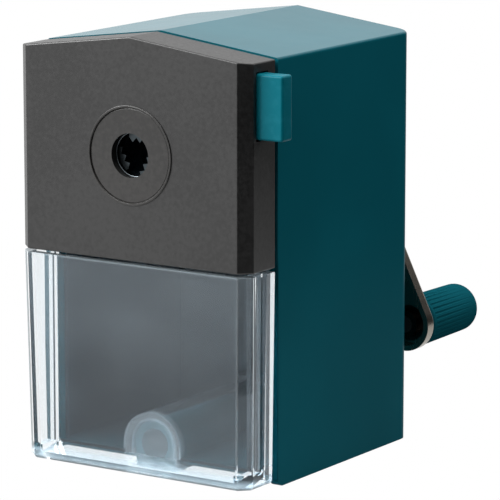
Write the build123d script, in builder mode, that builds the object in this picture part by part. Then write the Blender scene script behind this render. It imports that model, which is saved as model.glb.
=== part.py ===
"""Desktop crank pencil sharpener with a pull-out front, a three-jaw chuck and a clear shavings drawer.

Millimetres. X is the width, the pencil goes in along +Y, Z is up and the table is at Z = 0.
"""

import math
import os

from build123d import *

os.makedirs("parts", exist_ok=True)

# Driving sizes of the outside
SHELL_W = 68.9
SHELL_D = 63.4
RIDGE_Z = 111.4
ROOF_RISE = 4.4
SHELL_WALL = 2.4
SHELL_BOTTOM_Z = 0.6
BACK_EDGE_R = 4.2
FRONT_D = 12.1
FRONT_SEAM = 1.2
FRONT_CHAMFER_X = 2.95
FRONT_CHAMFER_Y = 2.8
FRONT_H = 55.7
FRONT_WALL = 2.1
SIDE_STEP = 0.1

# Pencil axis and chuck
AXIS_DROP = 29.4
PENCIL_HOLE_R = 5.5
BEZEL_R = 12.45
BEAD_W = 0.75
BEAD_H = 0.3
CHUCK_GRIP_R = 2.9
JAW_TEETH = 3
TOOTH_PITCH = 2.1
TOOTH_H = 1.2
JAW_BODY = 5.6
JAW_PIVOT_R = 17.0
JAW_DRIVE_R = 11.5
CAM_DRIVE_R = 16.0
BUTTON_TRAVEL = 4.0
JAW_T = 2.4
CAM_T = 1.8
BUTTON_PLATE_T = 1.6
CHUCK_PLATE_T = 1.8

# Tab of the chuck button
TAB_H = 16.0
TAB_DROP = 7.2
TAB_T = 4.4
TAB_REACH = 7.3
TAB_FRONT_SET = 4.2

# Planetary cutter
CONE_ANGLE = 11.0
CUTTER_R = 6.5
POINT_SET = 5.2
WEB_T = 3.5
RING_D = 7.2
RING_ROOT = 1.1
PINION_TEETH = 12
RING_TEETH = 36
AXLE_R = 2.0
CARRIER_R = 16.5
SHAFT_R = 4.0
BUSH_R = 6.5
BUSH_LEAD = 5.0

# Crank
ARM_LENGTH = 60.8
ARM_ANGLE = 28.7
ARM_END_R = 7.1
ARM_HUB_R = 10.2
ARM_DEPTH = 3.6
ARM_SHEET = 1.4
ARM_STANDOFF = 5.95
KNOB_R = 6.7
KNOB_END_R = 6.35
KNOB_L = 25.5
KNOB_ROUND = 3.4
KNOB_RIBS = 32
FLUTE_R = 0.4
FLUTE_DEPTH = 0.32
KNOB_PIN_R = 2.2
CRANK_HEAD_R = 3.6
WASHER_R = 5.6

# Slide of the front
FRONT_TRAVEL = 28.0
ROD_R = 2.0
ROD_X = 26.0
ROD_DROP = 8.0
FEED_WIRE_R = 0.45
FEED_COILS = 13

# Base, frame and drawer
BASE_T = 3.0
FRAME_PLATE_T = 2.5
SHELF_T = 2.0
FOOT_T = 2.0
CHEEK_T = 1.0
TONGUE_L = 20.0
TONGUE_D = 1.5
FOOT_W = 6.0
FOOT_D = 5.5
BASE_RELIEF = 1.8
CLAMP_R = 4.0
CLAMP_TUBE_R = 5.9
CLAMP_Z = 7.5
DRAWER_BOTTOM_Z = 1.6
DRAWER_DRAFT = 0.75
DRAWER_WALL = 2.0
BOX_WALL = 1.4
DRAWER_FLOOR_T = 1.8

# Clearances
RUN_FIT = 0.05
SLIDE_GAP = 0.4
FRAME_GAP = 0.25
DRAWER_GAP = 0.8
BOX_SIDE_GAP = 0.5
CARRIER_GAP = 2.3
RING_GAP = 0.4

# Screws
SMALL_SCREW_R = 0.9
SMALL_HEAD_R = 1.5
SMALL_HEAD_H = 1.3
CHUCK_SCREW_SET = 5.25
CHUCK_SCREW_DROP = 7.0
CHUCK_SCREW_LIFT = 6.3
TAB_SCREW_DROP = 7.7

# Heights, all set from the ridge
EAVE_Z = RIDGE_Z - ROOF_RISE
AXIS_Z = RIDGE_Z - AXIS_DROP
FRONT_BOTTOM_Z = RIDGE_Z - FRONT_H
TAB_TOP_Z = RIDGE_Z - TAB_DROP
ROD_Z = AXIS_Z - ROD_DROP

# Stations along the pencil axis
SHELL_FRONT_Y = -SHELL_D / 2
SHELL_BACK_Y = SHELL_D / 2
FRONT_BACK_Y = SHELL_FRONT_Y - FRONT_SEAM
FACE_Y = FRONT_BACK_Y - FRONT_D
JAW_FRONT_Y = FACE_Y + FRONT_WALL + 0.3 + SLIDE_GAP
JAW_BACK_Y = JAW_FRONT_Y + JAW_T
CAM_FRONT_Y = JAW_BACK_Y + SLIDE_GAP
CAM_BACK_Y = CAM_FRONT_Y + CAM_T
BUTTON_PLATE_FRONT_Y = CAM_BACK_Y + SLIDE_GAP
BUTTON_PLATE_BACK_Y = BUTTON_PLATE_FRONT_Y + BUTTON_PLATE_T
CHUCK_FRONT_Y = BUTTON_PLATE_BACK_Y + SLIDE_GAP
CHUCK_BACK_Y = CHUCK_FRONT_Y + CHUCK_PLATE_T
FRAME_FRONT_Y = SHELL_FRONT_Y + 2.2
FRAME_PLATE_BACK_Y = FRAME_FRONT_Y + FRAME_PLATE_T
REAR_PLATE_BACK_Y = SHELL_BACK_Y - SHELL_WALL - 4.8
REAR_PLATE_FRONT_Y = REAR_PLATE_BACK_Y - FRAME_PLATE_T
RING_FRONT_Y = FRAME_PLATE_BACK_Y
RING_BACK_Y = RING_FRONT_Y + RING_D
BUSH_FRONT_Y = REAR_PLATE_FRONT_Y - BUSH_LEAD
CARRIER_BACK_Y = BUSH_FRONT_Y - CARRIER_GAP
REAR_WEB_Y = CARRIER_BACK_Y - WEB_T
POINT_Y = REAR_WEB_Y - POINT_SET
ARM_FRONT_Y = SHELL_BACK_Y + ARM_STANDOFF
ARM_BACK_Y = ARM_FRONT_Y + ARM_DEPTH

# Sizes worked out from the ones above
HALF_W = SHELL_W / 2
INNER_HALF_W = HALF_W - SHELL_WALL
FRAME_HALF_W = INNER_HALF_W - FRAME_GAP
ROOF_SLOPE = (RIDGE_Z - EAVE_Z) / HALF_W
FRONT_HALF_W = HALF_W - SIDE_STEP
FLAT_HALF_W = FRONT_HALF_W - FRONT_CHAMFER_X
FRONT_RIDGE_Z = RIDGE_Z - 0.2
FRAME_TOP_Z = RIDGE_Z - SHELL_WALL - ROOF_SLOPE * FRAME_HALF_W - 0.6
SHELF_Z = FRONT_BOTTOM_Z + 0.3
SHELF_TOP_Z = SHELF_Z + SHELF_T
DRAWER_TOP_Z = FRONT_BOTTOM_Z - DRAWER_GAP
KNOB_X = ARM_LENGTH * math.sin(math.radians(ARM_ANGLE))
KNOB_Z = AXIS_Z - ARM_LENGTH * math.cos(math.radians(ARM_ANGLE))
TILT = math.radians(CONE_ANGLE)
APEX_Y = POINT_Y + CUTTER_R / math.sin(TILT)
RATIO = RING_TEETH / PINION_TEETH
PINION_CONE = math.atan(math.sin(TILT) / (RATIO - math.cos(TILT)))
RING_CONE = TILT + PINION_CONE
RING_PITCH_R = (APEX_Y - RING_FRONT_Y) * math.tan(RING_CONE)
RING_SCREW_R = RING_PITCH_R + RING_ROOT + SMALL_SCREW_R + 0.2
RING_OUT_R = RING_SCREW_R + SMALL_SCREW_R + 0.6
CAM_SWING = BUTTON_TRAVEL / CAM_DRIVE_R
HALF_SWING = CAM_SWING / 2
JAW_HALF_SWING = math.atan2(
    JAW_DRIVE_R * math.sin(HALF_SWING),
    JAW_PIVOT_R - JAW_DRIVE_R * math.cos(HALF_SWING),
)


# A plane across the pencil axis whose sketch reads as X and Z
def across(y, z=0.0, x=0.0):
    return Plane(origin=(x, y, z), x_dir=(1, 0, 0), z_dir=(0, -1, 0))


# A plane across the tilted axle, at a distance from the point where the axes meet
def across_axle(t):
    origin = (0, APEX_Y - t * math.cos(TILT), AXIS_Z + t * math.sin(TILT))
    return Plane(origin=origin, x_dir=(1, 0, 0), z_dir=(0, -math.cos(TILT), math.sin(TILT)))


# Point at a radius and angle
def polar(r, a):
    return (r * math.cos(a), r * math.sin(a))


def involute(a):
    return math.tan(a) - a


# Outline of a gear's teeth; slack widens the gap and low and high are the depths from the pitch circle
def gear_points(teeth, pitch_r, low, high, slack):
    pressure = math.radians(20)
    base_r = pitch_r * math.cos(pressure)
    half = math.pi / (2 * teeth) + slack / (2 * pitch_r)
    radii = [pitch_r - low, pitch_r - 0.35 * low, pitch_r + 0.4 * high, pitch_r + high]
    flank = []
    for r in radii:
        a = math.acos(min(1.0, base_r / r))
        flank.append((r, half + involute(pressure) - involute(a)))
    pts = []
    for i in range(teeth):
        mid = math.pi / 2 + i * 2 * math.pi / teeth
        for r, w in flank:
            pts.append(polar(r, mid - w))
        for r, w in reversed(flank):
            pts.append(polar(r, mid + w))
    return pts


# The roof line at a distance from the middle
def roof_z(x, ridge=RIDGE_Z):
    return ridge - ROOF_SLOPE * abs(x)


# Shell: one moulding with a gabled roof, open below and in front
shell_out = [
    (-HALF_W, SHELL_BOTTOM_Z),
    (HALF_W, SHELL_BOTTOM_Z),
    (HALF_W, EAVE_Z),
    (0, RIDGE_Z),
    (-HALF_W, EAVE_Z),
]
shell_in = [
    (-INNER_HALF_W, -1),
    (INNER_HALF_W, -1),
    (INNER_HALF_W, roof_z(INNER_HALF_W) - SHELL_WALL),
    (0, RIDGE_Z - SHELL_WALL),
    (-INNER_HALF_W, roof_z(INNER_HALF_W) - SHELL_WALL),
]
SHELL_BOSS_X = 26.0
SHELL_BOSS_R = 2.35
SHELL_BOSS_Y = SHELL_BACK_Y - SHELL_WALL - SHELL_BOSS_R + 0.1
with BuildPart() as body_shell:
    with BuildSketch(across(SHELL_BACK_Y)):
        Polygon(*shell_out, align=None)
    extrude(amount=SHELL_D)
    back_uprights = [
        e
        for e in body_shell.edges().filter_by(Axis.Z)
        if e.center().Y > 0
    ]
    fillet(back_uprights, BACK_EDGE_R)
    front_foot = [
        e
        for e in body_shell.edges().filter_by(Axis.X)
        if e.center().Y < 0 and e.center().Z < 5
    ]
    fillet(front_foot, 2.5)
    roof_edges = [
        e
        for e in body_shell.edges()
        if e.center().Z > EAVE_Z - 1 and e.center().Y > SHELL_FRONT_Y + 1
    ]
    fillet(roof_edges, 0.8)
    with BuildSketch(across(SHELL_BACK_Y - SHELL_WALL)):
        Polygon(*shell_in, align=None)
    extrude(amount=SHELL_D, mode=Mode.SUBTRACT)
    with BuildSketch(across(SHELL_BACK_Y, AXIS_Z)):
        Circle(10.5)
    extrude(amount=-4.5)
    with BuildSketch(Plane.XY.offset(BASE_T)):
        with Locations((-SHELL_BOSS_X, SHELL_BOSS_Y), (SHELL_BOSS_X, SHELL_BOSS_Y)):
            Circle(SHELL_BOSS_R)
    extrude(amount=16)
    with BuildSketch(Plane.XY.offset(BASE_T)):
        with Locations((-SHELL_BOSS_X, SHELL_BOSS_Y), (SHELL_BOSS_X, SHELL_BOSS_Y)):
            Circle(SMALL_SCREW_R)
    extrude(amount=9, mode=Mode.SUBTRACT)
    with BuildSketch(across(SHELL_BACK_Y + 5, AXIS_Z)):
        Circle(SHAFT_R + SLIDE_GAP)
    extrude(amount=12, mode=Mode.SUBTRACT)
    with BuildSketch(across(SHELL_BACK_Y + 1, CLAMP_Z)):
        Circle(CLAMP_TUBE_R + 0.2)
    extrude(amount=6, mode=Mode.SUBTRACT)
    collar_rim = [
        e
        for e in body_shell.edges().filter_by(GeomType.CIRCLE)
        if e.center().Y > SHELL_BACK_Y + 4 and e.radius > 9
    ]
    fillet(collar_rim, 1.0)

# Base plate, thin in front, with the tube that takes a clamp's rod from behind
REAR_BOSS_X = 14.0
REAR_BOSS_W = 5.0
REAR_BOSS_D = 4.6
REAR_BOSS_Y = REAR_PLATE_BACK_Y + REAR_BOSS_D / 2
base_spots = [
    (-SHELL_BOSS_X, SHELL_BOSS_Y),
    (SHELL_BOSS_X, SHELL_BOSS_Y),
    (-REAR_BOSS_X, REAR_BOSS_Y),
    (REAR_BOSS_X, REAR_BOSS_Y),
]
CHEEK_X = FRAME_HALF_W - CHEEK_T / 2
CHEEK_MID_Y = (FRAME_FRONT_Y + REAR_PLATE_FRONT_Y) / 2
cheek_slots = [(-CHEEK_X, CHEEK_MID_Y), (CHEEK_X, CHEEK_MID_Y)]
BASE_BACK_Y = SHELL_BACK_Y - SHELL_WALL - FRAME_GAP
BASE_FRONT_Y = SHELL_FRONT_Y + 0.3
TUBE_FRONT_Y = FRONT_BACK_Y - 0.5
RELIEF_D = 16.0
with BuildPart() as base_plate:
    with BuildSketch(Plane.XY):
        with Locations((0, (BASE_FRONT_Y + BASE_BACK_Y) / 2)):
            Rectangle(2 * FRAME_HALF_W, BASE_BACK_Y - BASE_FRONT_Y)
        with Locations((0, TUBE_FRONT_Y + 5)):
            Rectangle(2 * CLAMP_TUBE_R, 10)
    extrude(amount=BASE_T)
    with BuildSketch(across(SHELL_BACK_Y, 0)):
        with Locations((0, CLAMP_Z)):
            Circle(CLAMP_TUBE_R)
    extrude(amount=SHELL_BACK_Y - TUBE_FRONT_Y)
    with BuildSketch(across(BASE_BACK_Y, 0)):
        with Locations((0, (CLAMP_Z + 1) / 2)):
            Rectangle(2 * CLAMP_TUBE_R - 0.4, CLAMP_Z - 1)
    extrude(amount=BASE_BACK_Y - TUBE_FRONT_Y)
    with BuildSketch(across(SHELL_BACK_Y, CLAMP_Z)):
        Circle(CLAMP_R)
    extrude(amount=SHELL_BACK_Y - TUBE_FRONT_Y, mode=Mode.SUBTRACT)
    with BuildSketch(Plane.XY):
        for side in (-1, 1):
            with Locations((side * (CLAMP_TUBE_R + FRAME_HALF_W) / 2 + side * 0.3, BASE_FRONT_Y)):
                Rectangle(FRAME_HALF_W - CLAMP_TUBE_R + 0.4, 2 * RELIEF_D)
    extrude(amount=BASE_RELIEF, mode=Mode.SUBTRACT)
    with BuildSketch(Plane.XY.offset(BASE_T)):
        with Locations(*cheek_slots):
            Rectangle(CHEEK_T + 0.2, TONGUE_L + 0.2)
    extrude(amount=-TONGUE_D - 0.1, mode=Mode.SUBTRACT)
    with BuildSketch(Plane.XY):
        with Locations(*base_spots):
            Circle(SMALL_SCREW_R + 0.2)
    extrude(amount=BASE_T, mode=Mode.SUBTRACT)
    with BuildSketch(Plane.XY):
        with Locations(*base_spots):
            Circle(SMALL_HEAD_R + 0.1)
    extrude(amount=SMALL_HEAD_H + 0.3, mode=Mode.SUBTRACT)

# Four screws under the base, two into the shell and two into the rear plate
with BuildPart() as base_screws:
    with BuildSketch(Plane.XY.offset(0.3)):
        with Locations(*base_spots):
            Circle(SMALL_HEAD_R)
    extrude(amount=SMALL_HEAD_H)
    with BuildSketch(Plane.XY.offset(0.3 + SMALL_HEAD_H)):
        with Locations(*base_spots):
            Circle(SMALL_SCREW_R)
    extrude(amount=9)
    with BuildSketch(Plane.XY.offset(0.3)):
        with Locations(*base_spots):
            Rectangle(2.2, 0.45)
            Rectangle(0.45, 2.2)
    extrude(amount=0.6, mode=Mode.SUBTRACT)

# Front plate of the frame, which stands on the shelf on two feet
ring_angles = [math.radians(a) for a in (90 + 5, 210 + 5, 330 + 5)]
ring_spots = [polar(RING_SCREW_R, a) for a in ring_angles]
GUIDE_BUSH_R = 3.2
rod_spots = [(-ROD_X, ROD_Z), (ROD_X, ROD_Z)]
FOOT_X = FRAME_HALF_W - FOOT_W / 2 - 0.5
FRONT_FOOT_Y = FRAME_PLATE_BACK_Y + FOOT_D / 2
REAR_FOOT_Y = REAR_PLATE_FRONT_Y - FOOT_D / 2
front_feet = [(-FOOT_X, FRONT_FOOT_Y), (FOOT_X, FRONT_FOOT_Y)]
rear_feet = [(-FOOT_X, REAR_FOOT_Y), (FOOT_X, REAR_FOOT_Y)]
foot_spots = front_feet + rear_feet
with BuildPart() as frame_front:
    with BuildSketch(across(FRAME_PLATE_BACK_Y)):
        with Locations((0, (SHELF_TOP_Z + FRAME_TOP_Z) / 2)):
            Rectangle(2 * FRAME_HALF_W, FRAME_TOP_Z - SHELF_TOP_Z)
    extrude(amount=FRAME_PLATE_T)
    with BuildSketch(Plane.XY.offset(SHELF_TOP_Z)):
        with Locations(*front_feet):
            Rectangle(FOOT_W, FOOT_D)
    extrude(amount=FOOT_T)
    with BuildSketch(across(FRAME_PLATE_BACK_Y, AXIS_Z)):
        Circle(PENCIL_HOLE_R)
        with Locations(*ring_spots):
            Circle(SMALL_SCREW_R)
    extrude(amount=FRAME_PLATE_T, mode=Mode.SUBTRACT)
    with BuildSketch(across(FRAME_PLATE_BACK_Y)):
        with Locations(*rod_spots):
            Circle(GUIDE_BUSH_R)
    extrude(amount=FRAME_PLATE_T, mode=Mode.SUBTRACT)
    with BuildSketch(Plane.XY.offset(SHELF_TOP_Z)):
        with Locations(*front_feet):
            Circle(SMALL_SCREW_R + 0.2)
    extrude(amount=FOOT_T, mode=Mode.SUBTRACT)

# Rear plate of the frame, from the base to the roof, with feet on the shelf and bosses on the base
with BuildPart() as frame_rear:
    with BuildSketch(across(REAR_PLATE_BACK_Y)):
        with Locations((0, (BASE_T + FRAME_TOP_Z) / 2)):
            Rectangle(2 * FRAME_HALF_W, FRAME_TOP_Z - BASE_T)
    extrude(amount=FRAME_PLATE_T)
    with BuildSketch(Plane.XY.offset(BASE_T)):
        with Locations((-REAR_BOSS_X, REAR_BOSS_Y), (REAR_BOSS_X, REAR_BOSS_Y)):
            Rectangle(REAR_BOSS_W, REAR_BOSS_D)
    extrude(amount=12)
    with BuildSketch(Plane.XY.offset(BASE_T)):
        with Locations((-REAR_BOSS_X, REAR_BOSS_Y), (REAR_BOSS_X, REAR_BOSS_Y)):
            Circle(SMALL_SCREW_R)
    extrude(amount=9, mode=Mode.SUBTRACT)
    with BuildSketch(Plane.XY.offset(SHELF_TOP_Z)):
        with Locations(*rear_feet):
            Rectangle(FOOT_W, FOOT_D)
    extrude(amount=FOOT_T)
    with BuildSketch(across(REAR_PLATE_BACK_Y, AXIS_Z)):
        Circle(BUSH_R)
    extrude(amount=FRAME_PLATE_T, mode=Mode.SUBTRACT)
    with BuildSketch(across(REAR_PLATE_BACK_Y)):
        with Locations((0, CLAMP_Z / 2)):
            Rectangle(2 * CLAMP_TUBE_R + 0.4, CLAMP_Z)
        with Locations((0, CLAMP_Z)):
            Circle(CLAMP_TUBE_R + 0.2)
    extrude(amount=FRAME_PLATE_T, mode=Mode.SUBTRACT)
    with BuildSketch(Plane.XY.offset(SHELF_TOP_Z)):
        with Locations(*rear_feet):
            Circle(SMALL_SCREW_R + 0.2)
    extrude(amount=FOOT_T, mode=Mode.SUBTRACT)

# Shelf over the drawer, with the window that the shavings fall through
CHUTE_W = 34.0
SHELF_BOSS_R = 2.4
SHELF_BOSS_H = 2.0
CHUTE_FRONT_Y = RING_BACK_Y - 0.2
CHUTE_BACK_Y = CARRIER_BACK_Y + 3.3
with BuildPart() as bay_shelf:
    with BuildSketch(Plane.XY.offset(SHELF_Z)):
        with Locations((0, (FRAME_FRONT_Y + REAR_PLATE_FRONT_Y) / 2)):
            Rectangle(2 * FRAME_HALF_W, REAR_PLATE_FRONT_Y - FRAME_FRONT_Y)
        with Locations((0, (CHUTE_FRONT_Y + CHUTE_BACK_Y) / 2)):
            Rectangle(CHUTE_W, CHUTE_BACK_Y - CHUTE_FRONT_Y, mode=Mode.SUBTRACT)
        with Locations(*cheek_slots):
            Rectangle(CHEEK_T + 0.2, TONGUE_L + 0.2, mode=Mode.SUBTRACT)
    extrude(amount=SHELF_T)
    with BuildSketch(Plane.XY.offset(SHELF_Z)):
        with Locations(*foot_spots):
            Circle(SHELF_BOSS_R)
    extrude(amount=-SHELF_BOSS_H)
    with BuildSketch(Plane.XY.offset(SHELF_TOP_Z)):
        with Locations(*foot_spots):
            Circle(SMALL_SCREW_R)
    extrude(amount=-SHELF_T - SHELF_BOSS_H, mode=Mode.SUBTRACT)
    with BuildSketch(across(RING_BACK_Y, AXIS_Z)):
        Circle(RING_OUT_R + RING_GAP)
    extrude(amount=RING_D, mode=Mode.SUBTRACT)

# Cheeks at both sides of the drawer, with tongues in slots of the base and the shelf
cheek_parts = {}
for side, hand in ((-1, "left"), (1, "right")):
    with BuildPart() as cheek:
        with BuildSketch(Plane.XY.offset(BASE_T)):
            with Locations((side * CHEEK_X, CHEEK_MID_Y)):
                Rectangle(CHEEK_T, REAR_PLATE_FRONT_Y - FRAME_FRONT_Y)
        extrude(amount=SHELF_Z - BASE_T)
        with BuildSketch(Plane.XY.offset(BASE_T - TONGUE_D)):
            with Locations((side * CHEEK_X, CHEEK_MID_Y)):
                Rectangle(CHEEK_T, TONGUE_L)
        extrude(amount=SHELF_TOP_Z - BASE_T + TONGUE_D)
    cheek_parts[f"bay_cheek_{hand}"] = cheek

# Four screws down through the plates' feet into the shelf
with BuildPart() as frame_screws:
    with BuildSketch(Plane.XY.offset(SHELF_TOP_Z + FOOT_T)):
        with Locations(*foot_spots):
            Circle(SMALL_HEAD_R)
    extrude(amount=SMALL_HEAD_H)
    with BuildSketch(Plane.XY.offset(SHELF_TOP_Z + FOOT_T)):
        with Locations(*foot_spots):
            Circle(SMALL_SCREW_R)
    extrude(amount=-FOOT_T - SHELF_T - SHELF_BOSS_H + 0.2)
    with BuildSketch(Plane.XY.offset(SHELF_TOP_Z + FOOT_T + SMALL_HEAD_H)):
        with Locations(*foot_spots):
            Rectangle(2.2, 0.45)
            Rectangle(0.45, 2.2)
    extrude(amount=-0.6, mode=Mode.SUBTRACT)

# Rear bush that the crank's shaft turns in
with BuildPart() as rear_bush:
    with BuildSketch(across(REAR_PLATE_BACK_Y + 1.5, AXIS_Z)):
        Circle(BUSH_R)
    extrude(amount=REAR_PLATE_BACK_Y + 1.5 - BUSH_FRONT_Y)
    with BuildSketch(across(REAR_PLATE_FRONT_Y, AXIS_Z)):
        Circle(BUSH_R + 2)
    extrude(amount=1.6)
    with BuildSketch(across(REAR_PLATE_BACK_Y + 1.5, AXIS_Z)):
        Circle(SHAFT_R + RUN_FIT)
    extrude(amount=REAR_PLATE_BACK_Y + 1.5 - BUSH_FRONT_Y, mode=Mode.SUBTRACT)

# Guide bushes for the two rods
with BuildPart() as guide_bushes:
    with BuildSketch(across(FRAME_PLATE_BACK_Y)):
        with Locations(*rod_spots):
            Circle(GUIDE_BUSH_R)
    extrude(amount=FRAME_PLATE_T)
    with BuildSketch(across(FRAME_FRONT_Y)):
        with Locations(*rod_spots):
            Circle(GUIDE_BUSH_R + 1)
    extrude(amount=0.8)
    with BuildSketch(across(FRAME_PLATE_BACK_Y)):
        with Locations(*rod_spots):
            Circle(ROD_R + RUN_FIT)
    extrude(amount=FRAME_PLATE_T + 0.8, mode=Mode.SUBTRACT)

# Ring gear with teeth on a cone about the same point as the pinion's
ring_pts = gear_points(RING_TEETH, RING_PITCH_R, 0.7, RING_ROOT, 0.3)
ring_small = (APEX_Y - RING_BACK_Y) / (APEX_Y - RING_FRONT_Y)
with BuildPart() as ring_gear:
    with BuildSketch(across(RING_BACK_Y, AXIS_Z)):
        Circle(RING_OUT_R)
    extrude(amount=RING_BACK_Y - RING_FRONT_Y)
    with BuildSketch(across(RING_FRONT_Y, AXIS_Z)):
        Polygon(*ring_pts, align=None)
    with BuildSketch(across(RING_BACK_Y, AXIS_Z)):
        Polygon(*[(x * ring_small, y * ring_small) for x, y in ring_pts], align=None)
    loft(ruled=True, mode=Mode.SUBTRACT)
    with BuildSketch(across(RING_BACK_Y, AXIS_Z)):
        with Locations(*ring_spots):
            Circle(SMALL_SCREW_R)
    extrude(amount=RING_BACK_Y - RING_FRONT_Y, mode=Mode.SUBTRACT)

# Three screws that hold the ring gear
with BuildPart() as ring_screws:
    with BuildSketch(across(RING_BACK_Y + SMALL_HEAD_H, AXIS_Z)):
        with Locations(*ring_spots):
            Circle(SMALL_HEAD_R - 0.1)
    extrude(amount=SMALL_HEAD_H)
    with BuildSketch(across(RING_BACK_Y, AXIS_Z)):
        with Locations(*ring_spots):
            Circle(SMALL_SCREW_R)
    extrude(amount=RING_BACK_Y - FRAME_FRONT_Y - 0.2)
    with BuildSketch(across(RING_BACK_Y + SMALL_HEAD_H, AXIS_Z)):
        with Locations(*ring_spots):
            Rectangle(1.8, 0.4)
            Rectangle(0.4, 1.8)
    extrude(amount=0.6, mode=Mode.SUBTRACT)

# Carrier: a cradle with two webs that hold the tilted axle, and the crank's shaft
WEB_FRONT_Y = RING_BACK_Y + 2.0
AXLE_START = (APEX_Y - CARRIER_BACK_Y + 1.2) / math.cos(TILT)
SHAFT_FLAT = SHAFT_R - 1.0
with BuildPart() as cutter_carrier:
    with BuildSketch(across(CARRIER_BACK_Y, AXIS_Z)):
        Circle(CARRIER_R)
    extrude(amount=CARRIER_BACK_Y - WEB_FRONT_Y)
    with BuildSketch(across(REAR_WEB_Y, AXIS_Z)):
        Circle(CARRIER_R - 2.8)
    extrude(amount=REAR_WEB_Y - WEB_FRONT_Y - WEB_T, mode=Mode.SUBTRACT)
    with BuildSketch(across(REAR_WEB_Y, AXIS_Z)):
        with Locations((0, CARRIER_R / 2 - 1)):
            Rectangle(3 * CARRIER_R, CARRIER_R + 8)
    extrude(amount=REAR_WEB_Y - WEB_FRONT_Y - WEB_T, mode=Mode.SUBTRACT)
    with BuildSketch(Plane.XY.offset(AXIS_Z)):
        with Locations((0, (REAR_WEB_Y + WEB_FRONT_Y + WEB_T) / 2)):
            Rectangle(9, 16)
    extrude(amount=-2 * CARRIER_R, mode=Mode.SUBTRACT)
    with BuildSketch(across(WEB_FRONT_Y + WEB_T, AXIS_Z)):
        Circle(PENCIL_HOLE_R - 0.3)
    extrude(amount=WEB_T, mode=Mode.SUBTRACT)
    with BuildSketch(across(ARM_BACK_Y - 0.2, AXIS_Z)):
        Circle(SHAFT_R)
    extrude(amount=ARM_BACK_Y - 0.2 - CARRIER_BACK_Y + 0.8)
    with BuildSketch(across_axle(AXLE_START - 0.3)):
        Circle(AXLE_R + RUN_FIT)
    extrude(amount=60, mode=Mode.SUBTRACT)
    with BuildSketch(across(ARM_BACK_Y, AXIS_Z)):
        with Locations((0, SHAFT_FLAT + 2)):
            Rectangle(12, 4)
    extrude(amount=ARM_DEPTH, mode=Mode.SUBTRACT)
    with BuildSketch(across(ARM_BACK_Y, AXIS_Z)):
        Circle(1.5)
    extrude(amount=12, mode=Mode.SUBTRACT)

# Axle of the cutter
AXLE_END = (APEX_Y - RING_FRONT_Y) / math.cos(TILT) - 1.6
with BuildPart() as cutter_axle:
    with BuildSketch(across_axle(AXLE_START)):
        Circle(AXLE_R)
    extrude(amount=AXLE_END - AXLE_START)

# Helical cutter, drawn as turned sections one after the other
CUTTER_TEETH = 14
CUTTER_LOW = (APEX_Y - REAR_WEB_Y) / math.cos(TILT) + 2.2
CUTTER_HIGH = (APEX_Y - WEB_FRONT_Y - WEB_T) / math.cos(TILT) - 2.2
CUTTER_STEPS = 6
cutter_pts = []
for tooth in range(CUTTER_TEETH):
    start = tooth * 2 * math.pi / CUTTER_TEETH
    cutter_pts.append((CUTTER_R, start))
    cutter_pts.append((CUTTER_R - 0.9, start + 0.12))
    cutter_pts.append((CUTTER_R - 0.35, start + 0.34))
cutter_sections = []
for step in range(CUTTER_STEPS + 1):
    turn = step * 1.7 / CUTTER_STEPS
    t = CUTTER_LOW + step * (CUTTER_HIGH - CUTTER_LOW) / CUTTER_STEPS
    with BuildSketch(across_axle(t)) as cutter_section:
        Polygon(*[polar(r, a + turn) for r, a in cutter_pts], align=None)
    cutter_sections.append(cutter_section.sketch)
with BuildPart() as helical_cutter:
    loft(sections=cutter_sections, ruled=True)
    with BuildSketch(across_axle(CUTTER_LOW - 1)):
        Circle(AXLE_R)
    extrude(amount=CUTTER_HIGH - CUTTER_LOW + 2, mode=Mode.SUBTRACT)

# Pinion on the front end of the axle
PINION_HIGH = AXLE_END - 0.4
PINION_LOW = (APEX_Y - WEB_FRONT_Y) / math.cos(TILT) + 2.6
pinion_ref = PINION_HIGH * math.tan(PINION_CONE)
pinion_pts = gear_points(PINION_TEETH, pinion_ref, 1.2, 0.8, -0.3)
pinion_small = PINION_LOW / PINION_HIGH
with BuildPart() as cutter_pinion:
    with BuildSketch(across_axle(PINION_HIGH)):
        Polygon(*pinion_pts, align=None)
    with BuildSketch(across_axle(PINION_LOW)):
        Polygon(*[(x * pinion_small, y * pinion_small) for x, y in pinion_pts], align=None)
    loft(ruled=True)
    with BuildSketch(across_axle(PINION_LOW - 0.9)):
        Circle(AXLE_R + 1.3)
    extrude(amount=1.2)
    with BuildSketch(across_axle(PINION_LOW - 1)):
        Circle(AXLE_R)
    extrude(amount=PINION_HIGH - PINION_LOW + 2, mode=Mode.SUBTRACT)

# Front housing: the dark block that pulls out, hollow from behind
front_plan = [
    (-FLAT_HALF_W, FACE_Y),
    (FLAT_HALF_W, FACE_Y),
    (FRONT_HALF_W, FACE_Y + FRONT_CHAMFER_Y),
    (FRONT_HALF_W, FRONT_BACK_Y),
    (-FRONT_HALF_W, FRONT_BACK_Y),
    (-FRONT_HALF_W, FACE_Y + FRONT_CHAMFER_Y),
]
front_elevation = [
    (-HALF_W - 1, FRONT_BOTTOM_Z),
    (HALF_W + 1, FRONT_BOTTOM_Z),
    (HALF_W + 1, roof_z(HALF_W + 1, FRONT_RIDGE_Z)),
    (0, FRONT_RIDGE_Z),
    (-HALF_W - 1, roof_z(HALF_W + 1, FRONT_RIDGE_Z)),
]
FRONT_IN_W = FRONT_HALF_W - FRONT_WALL
front_hollow = [
    (-FRONT_IN_W, FRONT_BOTTOM_Z + FRONT_WALL),
    (FRONT_IN_W, FRONT_BOTTOM_Z + FRONT_WALL),
    (FRONT_IN_W, roof_z(FRONT_IN_W, FRONT_RIDGE_Z) - FRONT_WALL),
    (0, FRONT_RIDGE_Z - FRONT_WALL),
    (-FRONT_IN_W, roof_z(FRONT_IN_W, FRONT_RIDGE_Z) - FRONT_WALL),
]
FRONT_IN_Y = FACE_Y + FRONT_WALL
TAB_FRONT_Y = FACE_Y + TAB_FRONT_SET
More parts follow.
